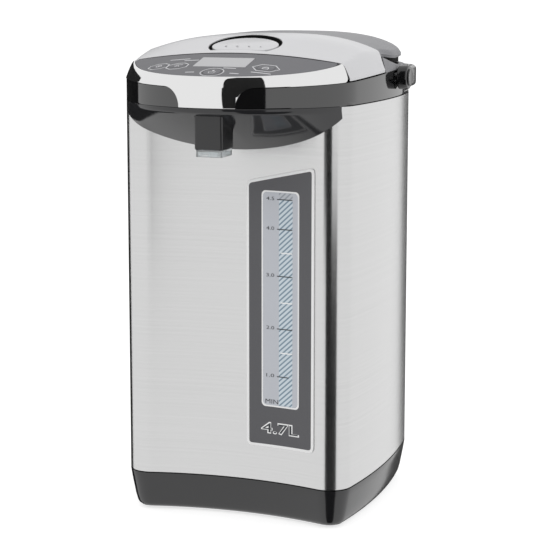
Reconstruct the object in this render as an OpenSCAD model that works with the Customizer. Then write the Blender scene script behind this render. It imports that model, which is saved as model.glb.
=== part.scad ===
// Electric airpot: a hot water dispenser with a pump, a keypad on its beak, a water gauge on
// its front, a hinged lid with a release lever, and a carrying handle folded behind the head.
// Millimetres. +Z is up and the front faces -Y. The pot's own axis stands at pot_y, so that the
// origin is the bottom centre of the whole part. The photographed pose is the rest pose: the
// lid shut, the handle folded back and every key up.

/* [Casing] */
// Width of the steel casing across its bowed sides
casing_w = 215; // [205:1:225]
// Depth of the casing over its front and rear corners
casing_d = 200; // [192:1:210]
// Height of the steel casing
casing_h = 324.2; // [315:0.1:335]
// Thickness of the casing's sheet
casing_wall = 0.8; // [0.6:0.1:1.2]
// Corner radius of the casing
corner_r = 20; // [16:1:24]
// How far each side bows out
side_bow = 5.7; // [4:0.1:8]
// How far the rear bows out
rear_bow = 4; // [3:0.1:6]
// How far the front is hollowed
front_hollow = 11; // [8:0.5:13]

/* [Base] */
// Height of the rubber feet
foot_h = 4; // [3:0.5:6]
// Radius of the rubber feet
foot_r = 11; // [8:1:14]
// Gap between the base housing and the table
base_lift = 2.5; // [1:0.5:3]
// Height of the top of the base housing above the table
base_top = 35.4; // [32:0.1:40]
// Wall of the base housing
base_wall = 2.6; // [2:0.1:3.5]
// How far the foot of the base housing is drawn in
base_inset = 5; // [3:0.5:7]
// Thickness of the bottom cover
cover_t = 2.5; // [2:0.5:4]
// Thickness of the steel chassis plate
chassis_t = 2; // [1.5:0.5:3]

/* [Head] */
// Height of the black band at the front
band_h = 16.4; // [14:0.1:20]
// Backward rise of the band's top edge, in degrees
band_tilt = 2.4; // [1:0.1:3]
// Reach of the beak in front of the pot's axis
beak_reach = 155; // [148:1:162]
// Reach of the head behind the pot's axis
head_rear = 100; // [98:1:102]
// Rear corner radius of the head
head_corner_r = 45; // [40:1:50]
// How far the head's rear bows out
head_bow = 4; // [3:0.1:6]
// Wall of the head ring
head_wall = 2.6; // [2:0.1:3.5]
// Thickness of the flange that caps the casing
flange_t = 2.6; // [2:0.1:3.5]
// Upright lip of the chin below the band
chin_lip = 4; // [3:0.5:6]
// Drop of the chin below its lip at the middle
chin_drop = 37; // [32:1:42]
// Thickness of the chin cover
chin_t = 2.4; // [2:0.1:3]

/* [Top] */
// Slope of the control panel, in degrees
panel_slope = 14.5; // [12:0.5:17]
// Height of the display's middle
display_z = 394.8; // [390:0.1:400]
// Sideways crown of the control panel
crown_front = 9; // [7:0.5:11]
// Sideways crown of the lid at the rear
crown_rear = 12; // [9:0.5:15]
// Width of the bevelled rim round the lid
rim_w = 10; // [8:1:12]
// Thickness of the covers on the head
skin_t = 2.2; // [1.8:0.1:3]
// Width of the groove between the control panel and the lid
groove_w = 1.6; // [1.2:0.1:2.5]
// Place of the groove at the middle, from the pot's axis
groove_y = -90.5; // [-93:0.5:-88]
// Place of the seam between the silver and the grey lid covers
lid_seam_y = 8; // [5:1:11]

/* [Keys and display] */
// Width of the display
display_w = 46; // [40:1:50]
// Depth of the display
display_d = 24.5; // [20:0.5:26]
// Radius of the round dispensing key
round_key_r = 7.4; // [6:0.1:8]
// Width of the other keys
key_w = 14; // [12:0.5:16]
// Depth of the other keys
key_d = 9; // [8:0.5:10]
// Room round each key
key_gap = 0.4; // [0.3:0.05:0.6]
// Travel of a key
key_travel = 0.6; // [0.4:0.1:1]

/* [Tank and gauge] */
// Room between the casing's depth and the tank, on each side
tank_room = 14.5; // [13.5:0.5:20]
// Lip of the filling mouth inside the tank's wall
mouth_lip = 9.5; // [8:0.5:14]
// Sheet thickness of the tank
tank_wall = 1; // [0.8:0.1:1.5]
// Height of the tank's floor above the table
tank_floor = 84; // [80:1:90]
// Height of the tank's flange above the table
tank_top = 346; // [340:1:348]
// Thickness of the insulation
wrap_t = 4; // [2:0.5:4.5]
// Left edge of the gauge panel
gauge_x0 = 11.2; // [8:0.1:14]
// Right edge of the gauge panel
gauge_x1 = 72.9; // [68:0.1:76]
// Bottom of the gauge panel
gauge_z0 = 67.3; // [60:0.1:75]
// Top of the gauge panel at its left edge
gauge_z1 = 294.1; // [285:0.1:300]
// Rise of the slanted top edge
gauge_rise = 13.6; // [8:0.1:16]
// Thickness of the gauge panel
gauge_t = 1.2; // [0.8:0.1:1.6]
// Radius of the sight tube
sight_r = 4.5; // [3.5:0.1:5]

/* [Lid lever] */
// Half width of the release lever
lever_a = 29.5; // [26:0.5:32]
// Reach of the lever behind its middle
lever_b = 21; // [18:0.5:22]
// Half width of the finger hole
hole_a = 32; // [30:0.5:36]
// Reach of the finger hole behind its middle
hole_b = 28; // [26:0.5:30]
// Thickness of the lever
lever_t = 2.6; // [2:0.1:3]
// Radius of the lever's pin
lever_pin_r = 1.5; // [1.2:0.1:2]

/* [Hinge and handle] */
// Place of the lid's hinge behind the pot's axis
hinge_y = 88; // [86:1:90]
// Height of the lid's hinge
hinge_z = 392; // [390:0.5:394]
// Radius of the hinge pin
hinge_pin_r = 2.5; // [2:0.1:3]
// Place of the handle's pivot behind the pot's axis
pivot_y = 30; // [26:1:34]
// Height of the handle's pivot
pivot_z = 376.5; // [375:0.5:378]
// Radius of the handle's pivot pins
pivot_pin_r = 4; // [3:0.5:5]
// Gap between the folded handle and the head
handle_gap = 2.2; // [2:0.1:3]
// Thickness of the handle
handle_t = 8; // [7:0.5:10]
// Height of the handle
handle_h = 18; // [14:1:20]

/* [Fits] */
// Gap between separate pieces
gap = 0.3; // [0.2:0.05:0.4]
// Radial clearance of a running pin
run_gap = 0.05; // [0.03:0.01:0.08]

/* [Hidden] */
$fn = 64;

// Heights of the stack
casing_z = base_top;
band_z = base_top + casing_h;
chassis_z = base_top;
floor_z = base_top + chassis_t;

// Centres and radii of the arcs that make the casing's outline
cy = casing_d / 2 - corner_r;
cx = casing_w / 2 - corner_r - side_bow;
side_r = (cy * cy + side_bow * side_bow) / (2 * side_bow) + corner_r;
side_x = side_r - casing_w / 2;
side_a = asin(cy / (side_r - corner_r));
rear_in_r = (cx * cx + rear_bow * rear_bow) / (2 * rear_bow);
rear_c = rear_in_r - cy - rear_bow;
rear_a = atan2(cy + rear_c, cx);
front_in_r = (cx * cx + front_hollow * front_hollow) / (2 * front_hollow);
front_c = cy - front_hollow + front_in_r;
front_a = atan2(front_c - cy, cx);
front_mid_y = -cy + front_hollow - corner_r;
casing_rear = cy + rear_bow + corner_r;
tank_r = casing_d / 2 - tank_room;
mouth_r = tank_r - mouth_lip;

// Centres and radii of the arcs that make the head's outline
beak_q = beak_reach - corner_r;
beak_c = (beak_q * beak_q - cx * cx - cy * cy) / (2 * (beak_q - cy));
beak_r = beak_reach - beak_c;
beak_a = atan2(cy - beak_c, cx);
head_cy = head_rear - head_corner_r - head_bow;
head_cx = sqrt(pow(side_r - head_corner_r, 2) - head_cy * head_cy) - side_x;
head_side_a = asin(head_cy / (side_r - head_corner_r));
head_in_r = (head_cx * head_cx + head_bow * head_bow) / (2 * head_bow);
head_rear_c = head_in_r - head_cy - head_bow;
head_rear_a = atan2(head_cy + head_rear_c, head_cx);

// The origin stands under the middle of the whole part
rear_reach = head_rear + handle_gap + handle_t;
pot_y = (beak_reach - rear_reach) / 2;

// Steps along the arcs of an outline
corner_n = 6;
side_n = 8;
beak_n = 28;

function mix(a, b, t) = a + (b - a) * t;
function clamp01(t) = min(1, max(0, t));
function smooth(t) = let (u = clamp01(t)) u * u * (3 - 2 * u);
function arc(c, r, a0, a1, n) =
  [for (i = [0 : n - 1]) let (a = mix(a0, a1, i / n)) c + r * [cos(a), sin(a)]];

// Outline of the casing, drawn in by inset; each arc runs on from the last
function casing_outline(inset) = concat(
  arc([-side_x, 0], side_r - inset, -side_a, side_a, side_n),
  arc([cx, cy], corner_r - inset, side_a, rear_a, corner_n),
  arc([0, -rear_c], rear_in_r + corner_r - inset, rear_a, 180 - rear_a, side_n),
  arc([-cx, cy], corner_r - inset, 180 - rear_a, 180 - side_a, corner_n),
  arc([side_x, 0], side_r - inset, 180 - side_a, 180 + side_a, side_n),
  arc([-cx, -cy], corner_r - inset, 180 + side_a, 360 - front_a, corner_n),
  arc([0, -front_c], front_in_r - corner_r + inset, 180 - front_a, front_a, 2 * side_n),
  arc([cx, -cy], corner_r - inset, 180 + front_a, 360 - side_a, corner_n)
);

// Outline of the head with its beak, drawn in by inset
function head_outline(inset) = concat(
  arc([-side_x, 0], side_r - inset, -side_a, head_side_a, side_n),
  arc([head_cx, head_cy], head_corner_r - inset, head_side_a, head_rear_a, 2 * corner_n),
  arc([0, -head_rear_c], head_in_r + head_corner_r - inset, head_rear_a, 180 - head_rear_a, side_n),
  arc([-head_cx, head_cy], head_corner_r - inset, 180 - head_rear_a, 180 - head_side_a, 2 * corner_n),
  arc([side_x, 0], side_r - inset, 180 - head_side_a, 180 + side_a, side_n),
  arc([-cx, -cy], corner_r - inset, 180 + side_a, 180 + beak_a, 3),
  arc([0, -beak_c], beak_r - inset, 180 + beak_a, 360 - beak_a, beak_n),
  arc([cx, -cy], corner_r - inset, 360 - beak_a, 360 - side_a, 3)
);

// Half width of the head at a depth on its sides
function head_half(y) =
  y < -beak_c - beak_r * sin(beak_a) ? sqrt(beak_r * beak_r - pow(y + beak_c, 2))
  : y < -side_r * sin(side_a) ? cx + sqrt(corner_r * corner_r - pow(y + cy, 2))
  : sqrt(side_r * side_r - y * y) - side_x;

// Height of the band's top edge
split_front = band_z + band_h;
function split_z(y) = split_front + (y + beak_reach) * tan(band_tilt);

// Height of the top along the middle: a slope, a bend, a level stretch and a fall to the rear
display_y = 40.5 - beak_reach;
bend_y = -50;
bend_l = 24;
level_y = 50;
rear_fall = 1;
function slope_z(y) = display_z + (y - display_y) * tan(panel_slope);
function bend_z(u) = slope_z(bend_y) + tan(panel_slope) * (u - u * u / (2 * bend_l));
function middle_z(y) =
  y < bend_y ? slope_z(y)
  : bend_z(min(y - bend_y, bend_l)) - rear_fall * pow(max(0, y - level_y) / level_y, 2);
crown_half = casing_w / 2 - 14.5;
crown_y = -90;
crown_l = 80;
function crown(y) = mix(crown_front, crown_rear, smooth((y - crown_y) / crown_l));
// The fall to the sides has a flatter middle at the rear
function crown_power(y) = 2 + smooth((y - crown_y) / crown_l);
function top_z(p) = middle_z(p.y) - crown(p.y) * pow(abs(p.x) / crown_half, crown_power(p.y));

// Depth of the seam across the lid, which bows forward at its ends
seam_bow = 8;
seam_half = 100;
function seam_at(x) = lid_seam_y - seam_bow * pow(x / seam_half, 2);

// Distance from a point to the head's outline
rim_line = head_outline(0);
function seg_dist(p, a, b) =
  let (t = clamp01((p - a) * (b - a) / ((b - a) * (b - a)))) norm(p - mix(a, b, t));
function rim_dist(p) =
  min([for (i = [0 : len(rim_line) - 1]) seg_dist(p, rim_line[i], rim_line[(i + 1) % len(rim_line)])]);

// Height of a bevelled cover that starts from base_z at its rim
function cover_z(p, base_z) = mix(base_z, top_z(p), sin(90 * clamp01(rim_dist(p) / rim_w)));

// A solid between two grids of points with the same rows and columns
module slab(top, bottom) {
  rows = len(top);
  cols = len(top[0]);
  n = rows * cols;
  function id(layer, i, j) = layer * n + i * cols + j;
  function quad(a, b, c, d) = [[a, b, c], [a, c, d]];
  skin = [for (i = [0 : rows - 2]) for (j = [0 : cols - 2]) each concat(
    quad(id(0, i, j), id(0, i + 1, j), id(0, i + 1, j + 1), id(0, i, j + 1)),
    quad(id(1, i, j), id(1, i, j + 1), id(1, i + 1, j + 1), id(1, i + 1, j)))];
  ends = [for (j = [0 : cols - 2]) each concat(
    quad(id(0, 0, j), id(0, 0, j + 1), id(1, 0, j + 1), id(1, 0, j)),
    quad(id(0, rows - 1, j + 1), id(0, rows - 1, j), id(1, rows - 1, j), id(1, rows - 1, j + 1)))];
  sides = [for (i = [0 : rows - 2]) each concat(
    quad(id(0, i + 1, 0), id(0, i, 0), id(1, i, 0), id(1, i + 1, 0)),
    quad(id(0, i, cols - 1), id(0, i + 1, cols - 1), id(1, i + 1, cols - 1), id(1, i, cols - 1)))];
  polyhedron([for (g = [top, bottom]) for (r = g) each r], concat(skin, ends, sides));
}

// A solid swept through closed loops of points, with flat ends or joined end to end
module sweep(loops, joined = false) {
  rows = len(loops);
  m = len(loops[0]);
  last = joined ? rows - 1 : rows - 2;
  function id(i, j) = (i % rows) * m + j % m;
  walls = [for (i = [0 : last]) for (j = [0 : m - 1])
    each [[id(i, j), id(i, j + 1), id(i + 1, j + 1)], [id(i, j), id(i + 1, j + 1), id(i + 1, j)]]];
  ends = joined ? [] : [[for (j = [m - 1 : -1 : 0]) id(0, j)], [for (j = [0 : m - 1]) id(rows - 1, j)]];
  polyhedron([for (l = loops) each l], concat(walls, ends));
}

// A smooth curve through points, with steps between each two
function spline_at(a, b, c, d, t) =
  0.5 * (2 * b + (c - a) * t + (2 * a - 5 * b + 4 * c - d) * t * t + (3 * b - a - 3 * c + d) * t * t * t);
function spline(pts, steps) =
  let (n = len(pts))
  concat([for (i = [0 : n - 2]) for (s = [0 : steps - 1])
    spline_at(pts[max(0, i - 1)], pts[i], pts[i + 1], pts[min(n - 1, i + 2)], s / steps)], [pts[n - 1]]);
function unit(v) = v / norm(v);
// A frame across a direction that turns steadily: its first axis stays level
function across(dir) =
  let (side = unit(norm([dir.x, dir.y]) > 0.02 * norm(dir) ? [dir.y, -dir.x, 0] : [1, 0, 0]))
  [side, unit(cross(dir, side))];

// A hose of radius r along a curve
hose_sides = 8;
module hose(curve, r) {
  n = len(curve);
  loops = [for (i = [0 : n - 1])
    let (dir = curve[min(n - 1, i + 1)] - curve[max(0, i - 1)])
    let (f = across(dir))
    [for (k = [0 : hose_sides - 1])
      let (a = -360 * k / hose_sides) curve[i] + r * (cos(a) * f[0] + sin(a) * f[1])]];
  sweep(loops);
}

module place() {
  translate([0, pot_y, 0]) children();
}

// A rounded rectangle about the middle
module pad(w, d, r) {
  square([w - 2 * r, d], center = true);
  square([w, d - 2 * r], center = true);
  for (x = [-1, 1]) for (y = [-1, 1]) translate([x * (w / 2 - r), y * (d / 2 - r)]) circle(r);
}

// A level ring between two radii about the tank's axis
tank_y = 6;
module ring(r0, r1, z0, z1) {
  translate([0, tank_y, 0])
    rotate_extrude()
      translate([r0, z0]) square([r1 - r0, z1 - z0]);
}

// Everything below the sloping top edge of the band, moved by lift
band_room = 600;
module below_split(lift = 0) {
  translate([0, -beak_reach, split_front + lift])
    rotate([band_tilt, 0, 0])
      translate([-band_room / 2, -band_room / 2, -band_room])
        cube(band_room);
}

// The frame of the control panel at a point of its top
function panel_normal(p) =
  unit([2 * crown(p.y) * p.x / pow(crown_half, 2), -tan(panel_slope), 1]);
module on_panel(p) {
  n = panel_normal(p);
  translate([p.x, p.y, top_z(p)])
    rotate([asin(-n.y), 0, 0])
      rotate([0, atan2(n.x, norm([n.y, n.z])), 0])
        children();
}

// Base

// Levels of the base housing: share of the height, share of the draw-in, and extra draw-in
base_levels = [[0, 1, 4], [0.05, 1, 1.8], [0.13, 1, 0.5], [0.3, 0.8, 0], [0.62, 0.4, 0], [1, 0, 0]];
function base_ring(level, wall) =
  [for (p = casing_outline(base_inset * level[1] + level[2] + wall))
    [p.x, p.y, mix(base_lift, base_top, level[0])]];
module base_housing() {
  n = len(base_levels);
  outer = [for (i = [n - 1 : -1 : 0]) base_ring(base_levels[i], 0)];
  inner = [for (l = base_levels) base_ring(l, base_wall)];
  color("#3a3a3c") sweep(concat(outer, inner), joined = true);
}

// The bottom cover sits inside the foot of the housing and stands on the feet
screw_x = 62;
screw_y = 40;
screw_r = 1.6;
post_r = 5;
cover_inset = base_inset + base_levels[0][2] + base_wall + gap;
module at_screws() {
  for (x = [-1, 1]) for (y = [-1, 1]) translate([x * screw_x, y * screw_y, 0]) children();
}
module bottom_cover() {
  color("#2c2c2e") difference() {
    union() {
      translate([0, 0, foot_h])
        linear_extrude(cover_t) polygon(casing_outline(cover_inset));
      at_screws() translate([0, 0, foot_h]) cylinder(r = post_r, h = chassis_z - foot_h);
    }
    at_screws() translate([0, 0, foot_h - 1]) cylinder(r = screw_r + run_gap, h = chassis_z);
  }
}

screw_head_r = 3.2;
screw_head_h = 1.8;
screw_l = 26;
module bottom_screws() {
  color("silver") at_screws() {
    translate([0, 0, foot_h - screw_head_h]) cylinder(r = screw_head_r, h = screw_head_h);
    translate([0, 0, foot_h]) cylinder(r = screw_r, h = screw_l);
  }
}

foot_x = 66;
foot_y = 64;
module rubber_feet() {
  color("#1c1c1d")
    for (x = [-1, 1]) for (y = [-1, 1])
      translate([x * foot_x, y * foot_y, 0]) cylinder(r = foot_r, h = foot_h);
}

chassis_inset = casing_wall + gap;
module chassis_plate() {
  color("#b9babc") translate([0, 0, chassis_z]) difference() {
    linear_extrude(chassis_t) polygon(casing_outline(chassis_inset));
    at_screws() translate([0, 0, -1]) cylinder(r = screw_r + run_gap, h = chassis_t + 2);
  }
}

// Casing and gauge

gauge_mid = (gauge_x0 + gauge_x1) / 2;
window_side = 13.5;
window_foot = 35.2;
window_head = 6.9;
window_x0 = gauge_x0 + window_side;
window_x1 = gauge_x1 - window_side;
window_z0 = gauge_z0 + window_foot;
window_z1 = gauge_z1 - window_head;
slot_margin = 5;
slot_depth = 40;

// A cut through the front wall, drawn as seen from the front
module from_front(y0, depth) {
  translate([0, y0 + depth, 0]) rotate([90, 0, 0]) linear_extrude(depth) children();
}
module window_area(shrink) {
  translate([window_x0 + shrink, window_z0 + shrink])
    square([window_x1 - window_x0 - 2 * shrink, window_z1 - window_z0 - 2 * shrink]);
}

// The hose leaves the casing through a slot that the chin covers
hose_slot_x0 = -74;
hose_slot_x1 = 6;
hose_slot_z0 = 338;
inlet_w = 46;
inlet_h = 30;
inlet_z = 62;
module outer_casing() {
  front = -cy - corner_r - 1;
  color("#c9cacb") difference() {
    translate([0, 0, casing_z]) linear_extrude(casing_h) difference() {
      polygon(casing_outline(0));
      polygon(casing_outline(casing_wall));
    }
    from_front(front, slot_depth) window_area(slot_margin);
    from_front(front, slot_depth) translate([hose_slot_x0, hose_slot_z0])
      square([hose_slot_x1 - hose_slot_x0, band_z - hose_slot_z0 - slot_margin]);
    translate([0, casing_rear, inlet_z])
      cube([inlet_w + 2 * gap, slot_depth, inlet_h + 2 * gap], center = true);
  }
}

// A sheet of a given thickness that lies on the casing's front
module front_sheet(t, z0, z1) {
  translate([0, 0, z0]) linear_extrude(z1 - z0) difference() {
    polygon(casing_outline(-t));
    polygon(casing_outline(0));
  }
}
module gauge_panel() {
  top = gauge_z1 + gauge_rise;
  color("#5f5f62") difference() {
    intersection() {
      front_sheet(gauge_t, gauge_z0, top);
      from_front(-casing_d, casing_d) difference() {
        translate([gauge_x0, gauge_z0]) square([gauge_x1 - gauge_x0, top - gauge_z0]);
        polygon([[gauge_x0 - 1, gauge_z1], [gauge_x1, top], [gauge_x0 - 1, top + 1]]);
      }
    }
    from_front(-casing_d, casing_d) window_area(0);
  }
}

window_t = 0.9;
module gauge_window() {
  color("#b9c6cf", 0.6) intersection() {
    front_sheet(window_t, window_z0, window_z1);
    from_front(-casing_d, casing_d) window_area(gap / 2);
  }
}

// The sight tube stands behind the window between two fittings on the tank
sight_y = front_mid_y + 7.5;
sight_wall = 1;
fitting_h = 12;
fitting_r = sight_r + 2;
sight_z0 = tank_floor + 10;
sight_z1 = 318;
sight_grip = 9;
module sight_tube() {
  color("#dfe9ee", 0.6) translate([gauge_mid, sight_y, sight_z0]) difference() {
    cylinder(r = sight_r, h = sight_z1 - sight_z0);
    translate([0, 0, -1]) cylinder(r = sight_r - sight_wall, h = sight_z1 - sight_z0 + 2);
  }
}
// A fitting reaches from the tube to the tank's wall, along the line to the tank's axis
sight_reach = norm([gauge_mid, sight_y - tank_y]);
sight_dir = atan2(tank_y - sight_y, -gauge_mid);
module gauge_fitting(up) {
  stub_r = 4;
  stub_z = stub_r + 1;
  stub_l = sight_reach - tank_r - tank_wall;
  color("#3a3a3c") difference() {
    union() {
      cylinder(r = fitting_r, h = fitting_h);
      translate([0, 0, up ? fitting_h - stub_z : stub_z]) rotate([0, 90, sight_dir])
        cylinder(r = stub_r, h = stub_l);
    }
    translate([0, 0, up ? -1 : fitting_h - sight_grip])
      cylinder(r = sight_r + run_gap, h = sight_grip + 1);
  }
}
module gauge_fitting_lower() {
  translate([gauge_mid, sight_y, sight_z0 + sight_grip - fitting_h]) gauge_fitting(false);
}
module gauge_fitting_upper() {
  translate([gauge_mid, sight_y, sight_z1 - sight_grip]) gauge_fitting(true);
}

// Head

// The chrome tab in the middle of the band, seen from the front
tab_half = 24.5;
tab_flare = 14;
tab_n = 8;
tab_depth = 12;
function tab_bottom(x) =
  let (u = clamp01((abs(x) - tab_half) / tab_flare), top = split_front + gap / 2)
  mix(band_z + gap / 2, top, sqrt(1 - pow(1 - u, 2)));
module tab_area() {
  steps = [for (i = [1 : tab_n]) tab_half + tab_flare * pow(i / tab_n, 2)];
  right = [for (x = steps) [x, tab_bottom(x) - gap / 2]];
  left = [for (i = [tab_n - 1 : -1 : 0]) [-right[i].x, right[i].y]];
  below = [[-steps[0], band_z - band_h], [steps[0], band_z - band_h]];
  above = [[tab_half + tab_flare, split_front + band_h], [-tab_half - tab_flare, split_front + band_h]];
  polygon(concat(left, below, right, above));
}

deck_z = band_z + 6.4;
deck_t = 2.4;
deck_top = deck_z + deck_t;
collar_top = 378;
collar_t = 3;
collar_foot = tank_top + 2;
flange_w = 13;
ear_r = 7;
ear_x0 = 22;
ear_x1 = 34;
hose_hole_r = 9;
riser_x = -0.7335 * cx;
riser_y = -cy - 2;
module head_ring() {
  color("#2b2b2d") difference() {
    union() {
      intersection() {
        translate([0, 0, band_z]) difference() {
          union() {
            linear_extrude(flange_t) polygon(casing_outline(0));
            linear_extrude(split_front) polygon(head_outline(0));
          }
          translate([0, 0, flange_t]) linear_extrude(split_front) polygon(head_outline(head_wall));
          translate([0, 0, -1]) linear_extrude(split_front) intersection() {
            polygon(head_outline(flange_w));
            union() {
              polygon(casing_outline(flange_w));
              translate([-cx, -2 * beak_reach]) square([2 * cx, 2 * beak_reach + front_mid_y + flange_w + 1]);
            }
          }
        }
        below_split();
      }
      translate([0, 0, deck_z]) linear_extrude(deck_t) difference() {
        polygon(head_outline(head_wall - gap));
        translate([0, tank_y]) circle(mouth_r + collar_t / 2);
      }
      ring(mouth_r, mouth_r + collar_t, collar_foot, collar_top);
      ring(mouth_r, tank_r + 5, collar_foot, collar_foot + 2);
      for (s = [-1, 1]) translate([s * (ear_x0 + ear_x1) / 2, hinge_y, 0]) {
        translate([0, 0, hinge_z]) rotate([0, 90, 0])
          cylinder(r = ear_r, h = ear_x1 - ear_x0, center = true);
        translate([-(ear_x1 - ear_x0) / 2, -ear_r, deck_top - gap])
          cube([ear_x1 - ear_x0, ear_r + 3, hinge_z - deck_top]);
      }
    }
    translate([0, hinge_y, hinge_z]) rotate([0, 90, 0])
      cylinder(r = hinge_pin_r + run_gap / 2, h = 3 * ear_x1, center = true);
    from_front(-beak_reach - 1, tab_depth) tab_area();
    translate([0, pivot_y, pivot_z]) rotate([0, 90, 0])
      cylinder(r = pivot_pin_r + run_gap / 2, h = 2 * casing_w, center = true);
    translate([riser_x, riser_y, band_z - 1]) cylinder(r = hose_hole_r, h = flange_t + 2);
  }
}

// The rear half of the head's outline, from one end of the lid's seam round to the other
rear_n = 7;
function rear_line(inset, y0) =
  let (a0 = asin(y0 / (side_r - inset)))
  concat(
    arc([-side_x, 0], side_r - inset, a0, head_side_a, rear_n),
    arc([head_cx, head_cy], head_corner_r - inset, head_side_a, head_rear_a, 2 * corner_n),
    arc([0, -head_rear_c], head_in_r + head_corner_r - inset, head_rear_a, 180 - head_rear_a, 2 * rear_n),
    arc([-head_cx, head_cy], head_corner_r - inset, 180 - head_rear_a, 180 - head_side_a, 2 * corner_n),
    arc([side_x, 0], side_r - inset, 180 - head_side_a, 180 - a0, rear_n),
    arc([side_x, 0], side_r - inset, 180 - a0, 180, 1)
  );

// The grey shoulder closes the head behind the silver lid cover and falls to a low ledge at the rear
shoulder_y0 = seam_at(seam_half) - 8.6;
shoulder_fall = 0.19;
shoulder_top = 395.5;
shoulder_w = 8.6;
ledge_w = 4.5;
ledge_h = 1.6;
shoulder_slant = 0.85;
shoulder_a = rear_line(0, shoulder_y0);
shoulder_b = rear_line(1, shoulder_y0);
function shoulder_section(i) =
  let (p = shoulder_a[i], n = shoulder_b[i] - p, fade = 1 - smooth((p.y - shoulder_y0) / 30))
  let (w = mix(shoulder_w, ledge_w, smooth((p.y - 45) / 30)), low = split_z(p.y) + gap / 3)
  let (high = max(low + ledge_h, shoulder_top - shoulder_fall * (p.y - shoulder_y0)))
  let (full = max(high, top_z(p + rim_w * n)))
  let (d = min(w - 0.5, rim_w * asin(clamp01((high - low) / (full - low))) / 90))
  [for (q = [[0, low], [d / 2, mix(low, full, sin(45 * d / rim_w))], [d, high], [w, high], [w, low]])
    let (g = p + q[0] * n) [g.x, g.y + shoulder_slant * q[0] * fade, q[1]]];
module rear_shoulders() {
  color("#4a4a4c") sweep([for (i = [0 : len(shoulder_a) - 1]) shoulder_section(i)]);
}

// The chin closes the beak from below and meets the casing on a curve like a smile
chin_half = 100;
chin_end = 96;
chin_power = 0.6;
chin_n = 32;
function wall_y(x) = let (u = abs(x))
  u < (front_in_r - corner_r) * cos(front_a) ? sqrt(pow(front_in_r - corner_r, 2) - u * u) - front_c
  : -cy - sqrt(max(0, corner_r * corner_r - pow(u - cx, 2)));
function chin_low(x) =
  band_z - chin_lip / 2 - chin_drop * pow(max(0, 1 - pow(x / chin_half, 2)), chin_power);
function chin_section(x) =
  let (rim = -beak_c - sqrt(beak_r * beak_r - x * x), wall = wall_y(x) - gap)
  let (lip = band_z - chin_lip, low = min(chin_low(x), lip - 0.5), t = min(chin_t, (wall - rim) / 3))
  [[x, rim, band_z], [x, rim, lip], [x, wall, low], [x, wall, low + 1.4 * t],
   [x, rim + t, lip + 0.3 * t], [x, rim + t, band_z]];
module chin_cover() {
  color("#38383a") difference() {
    sweep([for (i = [0 : chin_n]) chin_section(chin_end * sin(90 * (1 - 2 * i / chin_n)))]);
    translate([0, spout_y, 0]) linear_extrude(band_z + 1) pad(spout_w + 2 * gap, spout_d + 2 * gap, spout_round);
  }
}

// Spout under the chin
spout_w = 26;
spout_d = 27;
spout_y = -136.7;
spout_round = 5;
spout_z0 = 325.4;
spout_z1 = 353;
nozzle_drop = 5.8;
nozzle_wall = 1.6;
pipe_r = 5;
pipe_wall = 1.2;
module spout_housing() {
  color("#3c3c3d") translate([0, spout_y, spout_z0]) difference() {
    linear_extrude(spout_z1 - spout_z0) pad(spout_w, spout_d, spout_round);
    translate([0, 0, -1]) cylinder(r = pipe_r + run_gap, h = spout_z1 - spout_z0 + 2);
  }
}
module outlet_nozzle() {
  color("#e8eef0", 0.5) translate([0, spout_y, spout_z0]) difference() {
    union() {
      translate([0, 0, -nozzle_drop]) linear_extrude(nozzle_drop)
        pad(spout_w - 2, spout_d - 2, spout_round - 1);
      cylinder(r = pipe_r, h = spout_z1 - spout_z0 - socket_l);
    }
    difference() {
      translate([0, 0, -nozzle_drop - 1]) linear_extrude(nozzle_drop + 1 - nozzle_wall)
        pad(spout_w - 2 - 2 * nozzle_wall, spout_d - 2 - 2 * nozzle_wall, spout_round - 1 - nozzle_wall);
      translate([0, 0, -nozzle_drop]) cylinder(r = pipe_r, h = nozzle_drop);
    }
    translate([0, 0, -nozzle_drop - 1]) cylinder(r = pipe_r - pipe_wall, h = spout_z1 - spout_z0);
  }
}

// Chrome fascia round the front of the top, with its tab in the middle of the band
panel_c = beak_c + 7.3;
panel_r = beak_r - 10.8;
fascia_t = 1.8;
fascia_n = 12;
function panel_edge(a) =
  let (e = panel_c - beak_c) -e * sin(a) + sqrt(panel_r * panel_r - pow(e * cos(a), 2));
function fascia_point(a, d) = [(beak_r - d) * cos(a), (beak_r - d) * sin(a) - beak_c];
function fascia_section(a) =
  let (p = fascia_point(a, 0), w = beak_r - panel_edge(a), q = fascia_point(a, w))
  let (low = tab_bottom(p.x) + (p.y + beak_reach) * tan(band_tilt) * clamp01((abs(p.x) - tab_half) / tab_flare))
  let (base = split_z(p.y) + gap / 2, high = top_z(q))
  let (skin = [for (u = [0, 0.15, 0.4, 0.7, 1]) [u * w, mix(base, high, sin(90 * u))]])
  [for (s = concat([[0, low]], skin, [[w, high - 1.4 * fascia_t], [fascia_t, base], [fascia_t, low]]))
    let (g = fascia_point(a, s[0])) [g.x, g.y, s[1]]];
function tab_angle(x) = acos(clamp01(x / beak_r));
fascia_angles = concat(
  [for (i = [0 : fascia_n]) mix(beak_a, tab_angle(tab_half + tab_flare), i / fascia_n)],
  [for (i = [tab_n - 1 : -1 : 0]) tab_angle(tab_half + tab_flare * pow(i / tab_n, 2))]);
module fascia() {
  left = [for (a = fascia_angles) a - 180];
  right = [for (i = [len(fascia_angles) - 1 : -1 : 0]) -fascia_angles[i]];
  middle = [for (x = [-tab_half / 2, 0, tab_half / 2]) -acos(x / beak_r)];
  color("#d4d4d4") sweep([for (a = concat(left, middle, right)) fascia_section(a)]);
}

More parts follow.
